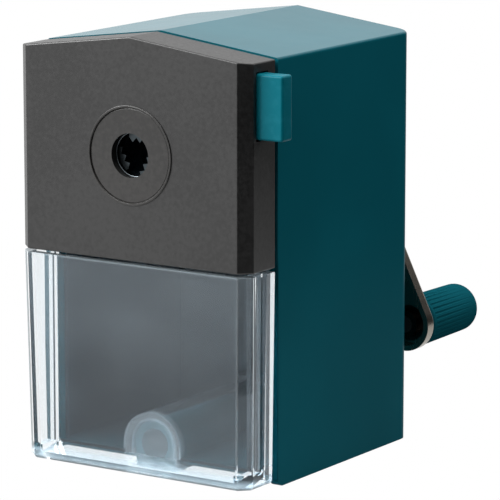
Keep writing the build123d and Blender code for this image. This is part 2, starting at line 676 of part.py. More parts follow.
TAB_BACK_Y = TAB_FRONT_Y + TAB_T
TAB_BOTTOM_Z = TAB_TOP_Z - TAB_H
CHUCK_SCREW_X = FRONT_IN_W - CHUCK_SCREW_SET
chuck_spots = [
    (-CHUCK_SCREW_X, EAVE_Z - CHUCK_SCREW_DROP),
    (CHUCK_SCREW_X, TAB_BOTTOM_Z - TAB_SCREW_DROP),
    (-CHUCK_SCREW_X, FRONT_BOTTOM_Z + CHUCK_SCREW_LIFT),
    (CHUCK_SCREW_X, FRONT_BOTTOM_Z + CHUCK_SCREW_LIFT),
]
SPRING_Z = AXIS_Z + CAM_DRIVE_R
SPRING_Y = JAW_FRONT_Y + 2.4
POST_X = 19.5
POST_T = 1.7
with BuildPart() as front_housing:
    with BuildSketch(Plane.XY.offset(FRONT_BOTTOM_Z)):
        Polygon(*front_plan, align=None)
    extrude(amount=RIDGE_Z)
    with BuildSketch(across(FRONT_BACK_Y + 1)):
        Polygon(*front_elevation, align=None)
    extrude(amount=FRONT_D + 2, mode=Mode.INTERSECT)
    housing_edges = [
        e
        for e in front_housing.edges()
        if e.center().Y < FRONT_BACK_Y - 1
    ]
    fillet(housing_edges, 0.45)
    with BuildSketch(across(FRONT_BACK_Y)):
        Polygon(*front_hollow, align=None)
    extrude(amount=FRONT_BACK_Y - FRONT_IN_Y, mode=Mode.SUBTRACT)
    with BuildSketch(Plane.XY.offset(FRONT_BOTTOM_Z)):
        for side in (-1, 1):
            Polygon(
                (side * (FLAT_HALF_W - 1), FACE_Y + 1),
                (side * (FRONT_HALF_W - 1), FACE_Y + FRONT_CHAMFER_Y + 1),
                (side * FRONT_IN_W, FRONT_IN_Y + 1.6),
                (side * (FRONT_IN_W - 2), FRONT_IN_Y),
                align=None,
            )
    extrude(amount=EAVE_Z - 1 - FRONT_BOTTOM_Z)
    with BuildSketch(across(CHUCK_FRONT_Y)):
        with Locations(*chuck_spots):
            Circle(2.5)
    extrude(amount=CHUCK_FRONT_Y - FRONT_IN_Y)
    with BuildSketch(across(CHUCK_FRONT_Y)):
        with Locations(*chuck_spots):
            Circle(SMALL_SCREW_R)
    extrude(amount=6, mode=Mode.SUBTRACT)
    with BuildSketch(across(SPRING_Y + 2.1)):
        with Locations((POST_X - POST_T / 2, SPRING_Z)):
            Rectangle(POST_T, 5.2)
    extrude(amount=SPRING_Y + 2.1 - FRONT_IN_Y)
    with BuildSketch(across(FRONT_IN_Y, AXIS_Z)):
        Circle(BEZEL_R)
    extrude(amount=FRONT_WALL, mode=Mode.SUBTRACT)
    with BuildSketch(Plane.YZ.offset(FRONT_IN_W - 3)):
        with Locations(((TAB_FRONT_Y + TAB_BACK_Y) / 2, (TAB_TOP_Z + TAB_BOTTOM_Z) / 2)):
            Rectangle(TAB_T + 2 * SLIDE_GAP, TAB_H + 2 * SLIDE_GAP)
    extrude(amount=8, mode=Mode.SUBTRACT)

# Bezel round the pencil hole, flush with the face and with a raised bead along its rim
with BuildPart() as pencil_bezel:
    with BuildSketch(across(FRONT_IN_Y + 0.3, AXIS_Z)):
        Circle(BEZEL_R)
    extrude(amount=FRONT_WALL + 0.3)
    with BuildSketch(across(FACE_Y, AXIS_Z)):
        Circle(BEZEL_R)
        Circle(BEZEL_R - BEAD_W, mode=Mode.SUBTRACT)
    extrude(amount=BEAD_H)
    fillet(pencil_bezel.edges().group_by(Axis.Y)[0], 0.8 * BEAD_H)
    with BuildSketch(across(FRONT_IN_Y + 0.3, AXIS_Z)):
        Circle(PENCIL_HOLE_R)
    extrude(amount=FRONT_WALL + 0.3, mode=Mode.SUBTRACT)

# Chuck plate: closes the front housing and carries the cam ring and the jaw posts
jaw_angles = [math.radians(a) for a in (30, 150, 270)]
jaw_spots = [polar(JAW_PIVOT_R, a) for a in jaw_angles]
CAM_BORE_R = PENCIL_HOLE_R + 2.0
JAW_PIN_R = 1.25
PLATE_TOP_Z = roof_z(FRONT_IN_W, FRONT_RIDGE_Z) - FRONT_WALL - 0.2
PLATE_LOW_Z = FRONT_BOTTOM_Z + FRONT_WALL + 0.2
with BuildPart() as chuck_plate:
    with BuildSketch(across(CHUCK_BACK_Y)):
        with Locations((0, (PLATE_TOP_Z + PLATE_LOW_Z) / 2)):
            Rectangle(2 * FRONT_IN_W - 0.4, PLATE_TOP_Z - PLATE_LOW_Z)
    extrude(amount=CHUCK_PLATE_T)
    with BuildSketch(across(CHUCK_FRONT_Y, AXIS_Z)):
        Circle(CAM_BORE_R - RUN_FIT)
    extrude(amount=CHUCK_FRONT_Y - CAM_FRONT_Y)
    with BuildSketch(across(CHUCK_FRONT_Y, AXIS_Z)):
        with Locations(*jaw_spots):
            Circle(JAW_PIN_R + 1.15)
    extrude(amount=CHUCK_FRONT_Y - JAW_BACK_Y - 0.3)
    with BuildSketch(across(CHUCK_BACK_Y, AXIS_Z)):
        Circle(PENCIL_HOLE_R)
        with Locations(*jaw_spots):
            Circle(JAW_PIN_R)
    extrude(amount=12, mode=Mode.SUBTRACT)
    with BuildSketch(across(CHUCK_BACK_Y)):
        with Locations(*chuck_spots):
            Circle(SMALL_SCREW_R + 0.2)
        with Locations(*rod_spots):
            Circle(ROD_R)
    extrude(amount=CHUCK_PLATE_T, mode=Mode.SUBTRACT)

# Four screws that hold the chuck plate in the front housing
with BuildPart() as chuck_screws:
    with BuildSketch(across(CHUCK_BACK_Y + SMALL_HEAD_H)):
        with Locations(*chuck_spots):
            Circle(SMALL_HEAD_R)
    extrude(amount=SMALL_HEAD_H)
    with BuildSketch(across(CHUCK_BACK_Y)):
        with Locations(*chuck_spots):
            Circle(SMALL_SCREW_R)
    extrude(amount=CHUCK_PLATE_T + 5.5)
    with BuildSketch(across(CHUCK_BACK_Y + SMALL_HEAD_H)):
        with Locations(*chuck_spots):
            Rectangle(2.2, 0.45)
            Rectangle(0.45, 2.2)
    extrude(amount=0.6, mode=Mode.SUBTRACT)

# Pins that the jaws turn on
with BuildPart() as jaw_pins:
    with BuildSketch(across(CHUCK_BACK_Y, AXIS_Z)):
        with Locations(*jaw_spots):
            Circle(JAW_PIN_R)
    extrude(amount=CHUCK_BACK_Y - JAW_FRONT_Y)

# Two rods with a head in front and a groove for a clip behind
ROD_BACK_Y = REAR_PLATE_FRONT_Y - 1.6
CLIP_BACK_Y = ROD_BACK_Y - 1.4
CLIP_T = 1.0
with BuildPart() as guide_rods:
    with BuildSketch(across(ROD_BACK_Y)):
        with Locations(*rod_spots):
            Circle(ROD_R)
    extrude(amount=ROD_BACK_Y - CHUCK_FRONT_Y)
    with BuildSketch(across(CHUCK_FRONT_Y)):
        with Locations(*rod_spots):
            Circle(ROD_R + 1.2)
    extrude(amount=1.2)
    with BuildSketch(across(CLIP_BACK_Y)):
        with Locations(*rod_spots):
            Circle(ROD_R + 1)
            Circle(ROD_R - 0.5, mode=Mode.SUBTRACT)
    extrude(amount=CLIP_T, mode=Mode.SUBTRACT)

# Clips at the inner ends of the rods
with BuildPart() as rod_clips:
    with BuildSketch(across(CLIP_BACK_Y)):
        with Locations(*rod_spots):
            Circle(ROD_R + 2.2)
            Circle(ROD_R - 0.5, mode=Mode.SUBTRACT)
        for x, z in rod_spots:
            with Locations((x, z + 2.5)):
                Rectangle(1.8, 5, mode=Mode.SUBTRACT)
    extrude(amount=CLIP_T)

# Feed springs that draw the front in; each is a round wire on a helix
FEED_R = ROD_R + 0.3 + FEED_WIRE_R
FEED_FRONT_Y = FRAME_PLATE_BACK_Y + FEED_WIRE_R
FEED_BACK_Y = CLIP_BACK_Y - CLIP_T - FEED_WIRE_R


def feed_helix(x):
    return Helix(
        pitch=(FEED_BACK_Y - FEED_FRONT_Y) / FEED_COILS,
        height=FEED_BACK_Y - FEED_FRONT_Y,
        radius=FEED_R,
        center=(x, FEED_FRONT_Y, ROD_Z),
        direction=(0, 1, 0),
    )


with BuildPart() as feed_spring_left:
    with BuildLine() as left_wire:
        add(feed_helix(-ROD_X))
    with BuildSketch(Plane(origin=left_wire.line @ 0, z_dir=left_wire.line % 0)):
        RegularPolygon(FEED_WIRE_R, 6)
    sweep(path=left_wire.line, is_frenet=True)

with BuildPart() as feed_spring_right:
    with BuildLine() as right_wire:
        add(feed_helix(ROD_X))
    with BuildSketch(Plane(origin=right_wire.line @ 0, z_dir=right_wire.line % 0)):
        RegularPolygon(FEED_WIRE_R, 6)
    sweep(path=right_wire.line, is_frenet=True)

# Cam ring, drawn as it stands with the button out
CAM_R = 13.4
CAM_PIN_R = 0.9
DRIVE_PIN_R = 1.3
drive_spot = polar(CAM_DRIVE_R, math.pi / 2 - HALF_SWING)
lug_spots = [polar(r, math.pi / 2 - HALF_SWING) for r in (CAM_R - 2, CAM_DRIVE_R)]
cam_spots = [polar(JAW_DRIVE_R, a - HALF_SWING) for a in jaw_angles]
with BuildPart() as cam_ring:
    with BuildSketch(across(CAM_BACK_Y, AXIS_Z)):
        Circle(CAM_R)
        with Locations(lug_spots[0]):
            Circle(2.6)
        with Locations(lug_spots[1]):
            Circle(2.3)
        with Locations(polar(CAM_DRIVE_R - 1.6, math.pi / 2 - HALF_SWING)):
            Rectangle(4.6, 3.4)
        Circle(CAM_BORE_R, mode=Mode.SUBTRACT)
    extrude(amount=CAM_T)
    with BuildSketch(across(CAM_FRONT_Y, AXIS_Z)):
        with Locations(*cam_spots):
            Circle(CAM_PIN_R)
    extrude(amount=CAM_FRONT_Y - JAW_FRONT_Y - 0.3)
    with BuildSketch(across(BUTTON_PLATE_BACK_Y, AXIS_Z)):
        with Locations(drive_spot):
            Circle(DRIVE_PIN_R)
    extrude(amount=BUTTON_PLATE_BACK_Y - CAM_BACK_Y)

# Chuck button: the tab at the side, its shoulder and the plate that turns the cam ring
SHOULDER_T = 1.5
SHOULDER_X = FRONT_IN_W - 0.3
PLATE_H = 8.6
with BuildPart() as chuck_button:
    with BuildSketch(Plane.YZ.offset(SHOULDER_X - SHOULDER_T)):
        with Locations(((TAB_FRONT_Y + TAB_BACK_Y) / 2, (TAB_TOP_Z + TAB_BOTTOM_Z) / 2)):
            Rectangle(TAB_T, TAB_H)
    extrude(amount=FRONT_HALF_W + TAB_REACH - SHOULDER_X + SHOULDER_T)
    tab_edges = [
        e
        for e in chuck_button.edges()
        if e.center().X > FRONT_HALF_W
    ]
    fillet(tab_edges, 0.7)
    with BuildSketch(Plane.YZ.offset(SHOULDER_X - SHOULDER_T)):
        with Locations(((TAB_FRONT_Y + BUTTON_PLATE_BACK_Y) / 2 - 0.3, (TAB_TOP_Z + TAB_BOTTOM_Z) / 2 - 0.6)):
            Rectangle(BUTTON_PLATE_BACK_Y - TAB_FRONT_Y + 0.6, TAB_H + 1.2)
    extrude(amount=SHOULDER_T)
    with BuildSketch(across(BUTTON_PLATE_BACK_Y, AXIS_Z)):
        with Locations(((SHOULDER_X + drive_spot[0] - 4) / 2, CAM_DRIVE_R)):
            Rectangle(SHOULDER_X - drive_spot[0] + 4, PLATE_H)
        with Locations((drive_spot[0], CAM_DRIVE_R)):
            SlotOverall(2 * DRIVE_PIN_R + 1.2, 2 * DRIVE_PIN_R + 0.3, rotation=90, mode=Mode.SUBTRACT)
    extrude(amount=BUTTON_PLATE_T)

# Spring between the button's shoulder and the post in the front housing
BUTTON_WIRE_R = 0.3
BUTTON_SPRING_R = 1.7
BUTTON_SPRING_L = SHOULDER_X - SHOULDER_T - POST_X - 2 * BUTTON_WIRE_R
with BuildPart() as button_spring:
    with BuildLine() as button_wire:
        Helix(
            pitch=BUTTON_SPRING_L / 7,
            height=BUTTON_SPRING_L,
            radius=BUTTON_SPRING_R,
            center=(POST_X + BUTTON_WIRE_R, SPRING_Y, SPRING_Z),
            direction=(1, 0, 0),
        )
    with BuildSketch(Plane(origin=button_wire.line @ 0, z_dir=button_wire.line % 0)):
        RegularPolygon(BUTTON_WIRE_R, 6)
    sweep(path=button_wire.line, is_frenet=True)

# Jaws: each is a bent lever on a pin, whose toothed edge closes on the pencil
EDGE_LEAD = math.radians(60)
SLOT_RIM = 2.3
SLOT_LEAN = JAW_HALF_SWING
slot_in = JAW_PIVOT_R - JAW_DRIVE_R * math.cos(HALF_SWING)
slot_mid = (slot_in / math.cos(JAW_HALF_SWING) + JAW_PIVOT_R - JAW_DRIVE_R) / 2
jaw_slot = (slot_mid * math.sin(SLOT_LEAN), JAW_PIVOT_R - slot_mid * math.cos(SLOT_LEAN))
jaw_pivot = (0, JAW_PIVOT_R)


# Points turned about the pencil axis
def turned(points, angle):
    c = math.cos(angle)
    s = math.sin(angle)
    return [(c * x - s * z, s * x + c * z) for x, z in points]


# Outline with the toothed edge above the pencil, and the pivot further round
eye_x, eye_z = turned([jaw_slot], -EDGE_LEAD)[0]
pivot_x, pivot_z = turned([jaw_pivot], -EDGE_LEAD)[0]
jaw_outline = [(-TOOTH_PITCH, CHUCK_GRIP_R + TOOTH_H)]
for tooth in range(JAW_TEETH):
    jaw_outline.append(((tooth - 0.5) * TOOTH_PITCH, CHUCK_GRIP_R))
    jaw_outline.append((tooth * TOOTH_PITCH, CHUCK_GRIP_R + TOOTH_H))
jaw_outline += [
    (eye_x, eye_z - SLOT_RIM),
    (pivot_x + 0.7 * SLOT_RIM, pivot_z - 0.7 * SLOT_RIM),
    (pivot_x - 0.7 * SLOT_RIM, pivot_z + 0.7 * SLOT_RIM),
    (TOOTH_PITCH, CHUCK_GRIP_R + JAW_BODY),
    (-0.5 * TOOTH_PITCH, CHUCK_GRIP_R + 0.8 * JAW_BODY),
    (-TOOTH_PITCH, CHUCK_GRIP_R + 0.5 * JAW_BODY),
]

jaw_parts = {}
for number, angle in enumerate(jaw_angles, start=1):
    pivot_turn = angle - math.pi / 2
    with BuildPart() as jaw:
        with BuildSketch(across(JAW_BACK_Y, AXIS_Z)):
            Polygon(*turned(jaw_outline, pivot_turn + EDGE_LEAD), align=None)
            with Locations(*turned([jaw_pivot, jaw_slot], pivot_turn)):
                Circle(SLOT_RIM)
            with Locations(turned([jaw_pivot], pivot_turn)[0]):
                Circle(JAW_PIN_R + RUN_FIT, mode=Mode.SUBTRACT)
            with Locations(turned([jaw_slot], pivot_turn)[0]):
                SlotOverall(
                    2 * CAM_PIN_R + 1.0,
                    2 * CAM_PIN_R + 0.3,
                    rotation=math.degrees(angle + SLOT_LEAN),
                    mode=Mode.SUBTRACT,
                )
        extrude(amount=JAW_T)
    jaw_parts[f"jaw_{number}"] = jaw

# Crank arm: a pressed channel, open towards the body, with a hub and a knob boss
arm_dir = (KNOB_X / ARM_LENGTH, (KNOB_Z - AXIS_Z) / ARM_LENGTH)


# Outline round the hub and the knob's end, with straight sides that touch both rounds
def arm_outline(hub_r, end_r):
    spread = math.acos((hub_r - end_r) / ARM_LENGTH)
    along = math.atan2(arm_dir[1], arm_dir[0])
    left = along + spread
    right = along - spread
    end = (KNOB_X, KNOB_Z - AXIS_Z)
    return [
        polar(hub_r, left),
        (end[0] + polar(end_r, left)[0], end[1] + polar(end_r, left)[1]),
        (end[0] + polar(end_r, right)[0], end[1] + polar(end_r, right)[1]),
        polar(hub_r, right),
    ]


arm_end = (KNOB_X, KNOB_Z - AXIS_Z)
with BuildPart() as crank_arm:
    with BuildSketch(across(ARM_BACK_Y, AXIS_Z)):
        Polygon(*arm_outline(ARM_HUB_R, ARM_END_R), align=None)
        Circle(ARM_HUB_R)
        with Locations(arm_end):
            Circle(ARM_END_R)
    extrude(amount=ARM_DEPTH)
    back_rim = [
        e
        for e in crank_arm.edges()
        if abs(e.center().Y - ARM_BACK_Y) < 0.01
    ]
    fillet(back_rim, 1.0)
    with BuildSketch(across(ARM_BACK_Y - ARM_SHEET, AXIS_Z)):
        Polygon(*arm_outline(ARM_HUB_R - ARM_SHEET, ARM_END_R - ARM_SHEET), align=None)
        Circle(ARM_HUB_R - ARM_SHEET)
        with Locations(arm_end):
            Circle(ARM_END_R - ARM_SHEET)
    extrude(amount=ARM_DEPTH, mode=Mode.SUBTRACT)
    with BuildSketch(across(ARM_BACK_Y - ARM_SHEET, AXIS_Z)):
        Circle(SHAFT_R + 2)
        with Locations(arm_end):
            Circle(KNOB_PIN_R + 1.4)
    extrude(amount=ARM_DEPTH - ARM_SHEET)
    with BuildSketch(across(ARM_BACK_Y, AXIS_Z)):
        Circle(SHAFT_R)
        with Locations((0, SHAFT_FLAT + 2)):
            Rectangle(12, 4, mode=Mode.SUBTRACT)
    extrude(amount=ARM_DEPTH, mode=Mode.SUBTRACT)
    with BuildSketch(across(ARM_BACK_Y, AXIS_Z)):
        with Locations(arm_end):
            Circle(KNOB_PIN_R)
    extrude(amount=ARM_DEPTH, mode=Mode.SUBTRACT)

# Screw and washer head that hold the arm on the shaft
with BuildPart() as crank_screw:
    with BuildSketch(across(ARM_BACK_Y + 2.2, AXIS_Z)):
        Circle(CRANK_HEAD_R)
    extrude(amount=1.4)
    fillet(crank_screw.edges().filter_by(GeomType.CIRCLE).sort_by(Axis.Y)[-1], 0.9)
    with BuildSketch(across(ARM_BACK_Y + 0.8, AXIS_Z)):
        Circle(WASHER_R)
    extrude(amount=0.8)
    with BuildSketch(across(ARM_BACK_Y, AXIS_Z)):
        Circle(1.5)
    extrude(amount=10)
    with BuildSketch(across(ARM_BACK_Y + 2.2, AXIS_Z)):
        Rectangle(4.2, 0.8)
        Rectangle(0.8, 4.2)
    extrude(amount=1.0, mode=Mode.SUBTRACT)

# Pin of the knob, riveted in the arm, with a head sunk in the knob's end
KNOB_FRONT_Y = ARM_BACK_Y + SLIDE_GAP
KNOB_BACK_Y = KNOB_FRONT_Y + KNOB_L
PIN_HEAD_R = KNOB_PIN_R + 1.3
HEAD_SINK = 2.6
with BuildPart() as knob_pin:
    with BuildSketch(across(KNOB_BACK_Y - HEAD_SINK + 0.2, KNOB_Z, KNOB_X)):
        Circle(KNOB_PIN_R)
    extrude(amount=KNOB_BACK_Y - HEAD_SINK + 0.2 - ARM_FRONT_Y)
    with BuildSketch(across(KNOB_BACK_Y - HEAD_SINK + 1.6, KNOB_Z, KNOB_X)):
        Circle(PIN_HEAD_R)
    extrude(amount=1.4)
    fillet(knob_pin.edges().filter_by(GeomType.CIRCLE).sort_by(Axis.Y)[-1], 0.7)

# Knob: a tapered grip with lengthwise ribs and a rounded end
with BuildPart() as crank_knob:
    with BuildSketch(Plane(origin=(KNOB_X, KNOB_FRONT_Y, KNOB_Z), x_dir=(1, 0, 0), z_dir=(0, 0, 1))):
        with BuildLine():
            Polyline(
                (0, 0),
                (KNOB_R - 0.5, 0),
                (KNOB_R, 0.5),
                (KNOB_END_R, KNOB_L),
                (0, KNOB_L),
                close=True,
            )
        make_face()
    revolve(axis=Axis((KNOB_X, 0, KNOB_Z), (0, 1, 0)))
    fillet(crank_knob.edges().filter_by(GeomType.CIRCLE).sort_by(Axis.Y)[-1], KNOB_ROUND)
    with BuildSketch(across(KNOB_BACK_Y - KNOB_ROUND, KNOB_Z, KNOB_X)):
        with PolarLocations(KNOB_R + FLUTE_R - FLUTE_DEPTH, KNOB_RIBS):
            Circle(FLUTE_R)
    extrude(amount=KNOB_L - KNOB_ROUND - 1.4, mode=Mode.SUBTRACT)
    with BuildSketch(across(KNOB_BACK_Y, KNOB_Z, KNOB_X)):
        Circle(KNOB_PIN_R + RUN_FIT)
    extrude(amount=KNOB_L, mode=Mode.SUBTRACT)
    with BuildSketch(across(KNOB_BACK_Y, KNOB_Z, KNOB_X)):
        Circle(PIN_HEAD_R + 0.3)
    extrude(amount=HEAD_SINK, mode=Mode.SUBTRACT)

# Drawer: a clear front block that narrows downwards, with a box behind it over the clamp tube
BOX_HALF = FRAME_HALF_W - CHEEK_T - BOX_SIDE_GAP
BLOCK_BACK_Y = FRONT_BACK_Y - 1.7
BOX_BOTTOM_Z = BASE_T + SLIDE_GAP
BOX_TOP_Z = SHELF_Z - 2.5
BOX_BACK_Y = REAR_PLATE_FRONT_Y - 1.0
RAMP_FRONT_Y = FACE_Y + 0.8 + DRAWER_WALL
RAMP_HALF_W = FRONT_HALF_W - DRAWER_DRAFT - DRAWER_WALL - 1.6
TUNNEL_R = CLAMP_TUBE_R + 0.8
TUNNEL_FRONT_Y = TUBE_FRONT_Y - 0.6


# Plan of the drawer's front block, drawn in by the draft and by a wall
def block_plan(draw_in, front_in, back_y, wall=0.0):
    flat = FLAT_HALF_W - draw_in - 0.6 * wall
    wide = FRONT_HALF_W - draw_in - wall
    front = FACE_Y + front_in + wall
    return [
        (-flat, front),
        (flat, front),
        (wide, front + FRONT_CHAMFER_Y),
        (wide, back_y),
        (-wide, back_y),
        (-wide, front + FRONT_CHAMFER_Y),
    ]


BLOCK_IN_BACK_Y = BLOCK_BACK_Y - DRAWER_WALL
with BuildPart() as drawer:
    with BuildSketch(Plane.XY.offset(DRAWER_BOTTOM_Z)):
        Polygon(*block_plan(DRAWER_DRAFT, 0.8, FRONT_BACK_Y), align=None)
    with BuildSketch(Plane.XY.offset(DRAWER_TOP_Z)):
        Polygon(*block_plan(0, 0, FRONT_BACK_Y), align=None)
    loft(ruled=True)
    low_rim = [
        e
        for e in drawer.edges()
        if e.center().Z < DRAWER_BOTTOM_Z + 0.1 and e.center().Y < FRONT_BACK_Y - 0.5
    ]
    fillet(low_rim, 1.3)
    with BuildSketch(Plane.XY.offset(DRAWER_BOTTOM_Z)):
        with Locations((0, (BLOCK_BACK_Y + FRONT_BACK_Y + 1) / 2)):
            Rectangle(2 * (FRONT_HALF_W - DRAWER_WALL - 0.9), FRONT_BACK_Y + 1 - BLOCK_BACK_Y)
    extrude(amount=DRAWER_TOP_Z - DRAWER_BOTTOM_Z, mode=Mode.SUBTRACT)
    with BuildSketch(Plane.XY.offset(BOX_BOTTOM_Z)):
        with Locations((0, (BLOCK_BACK_Y - 0.5 + BOX_BACK_Y) / 2)):
            Rectangle(2 * BOX_HALF, BOX_BACK_Y - BLOCK_BACK_Y + 0.5)
    extrude(amount=BOX_TOP_Z - BOX_BOTTOM_Z)
    with BuildSketch(Plane.XY.offset(BOX_BOTTOM_Z + DRAWER_FLOOR_T)):
        Polygon(*block_plan(DRAWER_DRAFT, 0.8, BLOCK_IN_BACK_Y, DRAWER_WALL), align=None)
    with BuildSketch(Plane.XY.offset(DRAWER_TOP_Z)):
        Polygon(*block_plan(0, 0, BLOCK_IN_BACK_Y, DRAWER_WALL), align=None)
    loft(ruled=True, mode=Mode.SUBTRACT)
    with BuildSketch(Plane.XY.offset(BOX_BOTTOM_Z + DRAWER_FLOOR_T)):
        with Locations((0, (BLOCK_IN_BACK_Y - 1 + BOX_BACK_Y - BOX_WALL) / 2)):
            Rectangle(2 * BOX_HALF - 2 * BOX_WALL, BOX_BACK_Y - BOX_WALL - BLOCK_IN_BACK_Y + 1)
    extrude(amount=DRAWER_TOP_Z, mode=Mode.SUBTRACT)
    with BuildSketch(Plane.YZ):
        Polygon(
            (RAMP_FRONT_Y, DRAWER_BOTTOM_Z - 1),
            (RAMP_FRONT_Y, DRAWER_BOTTOM_Z),
            (BLOCK_BACK_Y, BOX_BOTTOM_Z),
            (BLOCK_BACK_Y, DRAWER_BOTTOM_Z - 1),
            align=None,
        )
    extrude(amount=RAMP_HALF_W, both=True, mode=Mode.SUBTRACT)
    with BuildSketch(Plane.YZ):
        Polygon(
            (RAMP_FRONT_Y, DRAWER_BOTTOM_Z + DRAWER_FLOOR_T),
            (BLOCK_BACK_Y, BOX_BOTTOM_Z + DRAWER_FLOOR_T),
            (BLOCK_BACK_Y, BOX_BOTTOM_Z + DRAWER_FLOOR_T + 0.1),
            (RAMP_FRONT_Y, BOX_BOTTOM_Z + DRAWER_FLOOR_T + 0.1),
            align=None,
        )
    extrude(amount=RAMP_HALF_W - 1, both=True, mode=Mode.SUBTRACT)
    with BuildSketch(across(BOX_BACK_Y)):
        with Locations((0, CLAMP_Z)):
            Circle(TUNNEL_R + 1.7)
        with Locations((0, (CLAMP_Z + BOX_BOTTOM_Z) / 2)):
            Rectangle(2 * TUNNEL_R + 3.4, CLAMP_Z - BOX_BOTTOM_Z)
        with Locations((0, BOX_BOTTOM_Z - 10)):
            Rectangle(40, 20, mode=Mode.SUBTRACT)
    extrude(amount=BOX_BACK_Y - TUNNEL_FRONT_Y + 1.7)
    with BuildSketch(across(BOX_BACK_Y)):
        with Locations((0, CLAMP_Z)):
            Circle(TUNNEL_R)
        with Locations((0, CLAMP_Z / 2)):
            Rectangle(2 * TUNNEL_R, CLAMP_Z)
    extrude(amount=BOX_BACK_Y - TUNNEL_FRONT_Y, mode=Mode.SUBTRACT)
    with BuildSketch(Plane.YZ.offset(FRONT_HALF_W - 0.9 - DRAWER_DRAFT / 2)):
        with Locations((FACE_Y + FRONT_CHAMFER_Y + 3.6, DRAWER_BOTTOM_Z + 3.4 + 40)):
            SlotOverall(80, 4.3, rotation=90)
    extrude(amount=5, mode=Mode.SUBTRACT)

# Name and write every part
parts = {
    "body_shell": body_shell,
    "base_plate": base_plate,
    "base_screws": base_screws,
    "frame_front": frame_front,
    "frame_rear": frame_rear,
    "bay_shelf": bay_shelf,
    "frame_screws": frame_screws,
    "rear_bush": rear_bush,
    "guide_bushes": guide_bushes,
    "ring_gear": ring_gear,
    "ring_screws": ring_screws,
    "cutter_carrier": cutter_carrier,
    "cutter_axle": cutter_axle,
    "helical_cutter": helical_cutter,
    "cutter_pinion": cutter_pinion,
    "front_housing": front_housing,
    "pencil_bezel": pencil_bezel,
    "chuck_plate": chuck_plate,
    "chuck_screws": chuck_screws,
    "jaw_pins": jaw_pins,
    "guide_rods": guide_rods,
    "rod_clips": rod_clips,
    "feed_spring_left": feed_spring_left,
    "feed_spring_right": feed_spring_right,
    "cam_ring": cam_ring,
    "chuck_button": chuck_button,
    "button_spring": button_spring,
    "crank_arm": crank_arm,
    "crank_screw": crank_screw,
    "knob_pin": knob_pin,
    "crank_knob": crank_knob,
    "drawer": drawer,
}
parts.update(cheek_parts)
parts.update(jaw_parts)
for name, built in parts.items():
    built.part.label = name
    export_step(built.part, f"parts/{name}.step")
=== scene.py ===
# %% [markdown]
# # A desk pencil sharpener
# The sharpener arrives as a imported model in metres, with one object for every piece and one empty for every
# body that moves. Loading it first fixes all sizes and places. The rest of this file gives each surface its
# finish, adds one thin ring, winds the wire springs, and sets the light and the camera.

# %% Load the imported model
import math

import bmesh
import bpy
from mathutils import Matrix, Vector


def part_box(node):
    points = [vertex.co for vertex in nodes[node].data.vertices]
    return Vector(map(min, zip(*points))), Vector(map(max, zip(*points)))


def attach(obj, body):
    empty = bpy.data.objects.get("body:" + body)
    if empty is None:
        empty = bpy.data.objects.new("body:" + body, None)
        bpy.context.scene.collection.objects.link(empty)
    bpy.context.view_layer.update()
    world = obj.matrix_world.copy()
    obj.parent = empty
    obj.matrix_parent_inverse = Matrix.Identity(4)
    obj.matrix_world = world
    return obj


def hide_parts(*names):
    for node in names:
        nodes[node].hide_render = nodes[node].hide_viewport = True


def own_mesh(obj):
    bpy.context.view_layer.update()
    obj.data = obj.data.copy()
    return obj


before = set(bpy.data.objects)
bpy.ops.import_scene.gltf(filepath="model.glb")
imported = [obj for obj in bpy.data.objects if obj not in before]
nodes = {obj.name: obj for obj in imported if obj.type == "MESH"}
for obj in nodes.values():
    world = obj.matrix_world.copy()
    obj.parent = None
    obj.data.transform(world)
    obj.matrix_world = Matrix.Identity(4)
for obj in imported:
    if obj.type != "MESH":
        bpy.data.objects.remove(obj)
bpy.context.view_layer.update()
scene = bpy.context.scene

# %% [markdown]
# ## The camera
# The view is a long lens, a little above the middle and to the right of the front. The place was worked out
# from the straight edges of the shell: a point, a direction and a distance say it in the fewest numbers.
# The camera aims slightly beside the middle, so that the crank also fits in the frame.

# %% Camera
AZIMUTH, ELEVATION, DISTANCE = math.radians(33.86), math.radians(10.64), 0.8786
FOCAL_PIXELS, PICTURE_PIXELS, SENSOR = 3451.0, 500, 36.0
MIDDLE = Vector((0.0, -0.006, 0.055))
AIM_RIGHT_PIXELS, AIM_DOWN_PIXELS = 31.0, 10.2
towards_camera = Vector((
    math.sin(AZIMUTH) * math.cos(ELEVATION),
    -math.cos(AZIMUTH) * math.cos(ELEVATION),
    math.sin(ELEVATION),
))
picture_right = Vector((math.cos(AZIMUTH), math.sin(AZIMUTH), 0.0))
picture_up = towards_camera.cross(picture_right)
pixel = DISTANCE / FOCAL_PIXELS
aim = MIDDLE + picture_right * (AIM_RIGHT_PIXELS * pixel) - picture_up * (AIM_DOWN_PIXELS * pixel)
camera = bpy.data.objects.new("camera", bpy.data.cameras.new("camera"))
camera.location = MIDDLE + towards_camera * DISTANCE
camera.rotation_euler = (aim - camera.location).to_track_quat("-Z", "Y").to_euler()
camera.data.sensor_width = SENSOR
camera.data.lens = FOCAL_PIXELS / PICTURE_PIXELS * SENSOR
camera.data.clip_start, camera.data.clip_end = 0.05, 20.0
scene.collection.objects.link(camera)
scene.camera = camera
print("camera at", [round(c, 3) for c in camera.location])

# %% [markdown]
# ## Writing shaders as sums
# A finish is easier to read as a line of arithmetic than as a list of links. The class below wraps one
# socket, and its operators add the Math nodes. Any other node comes from the one method `node`, in which
# `n0`, `n1` and so on stand for sockets that are known by number.


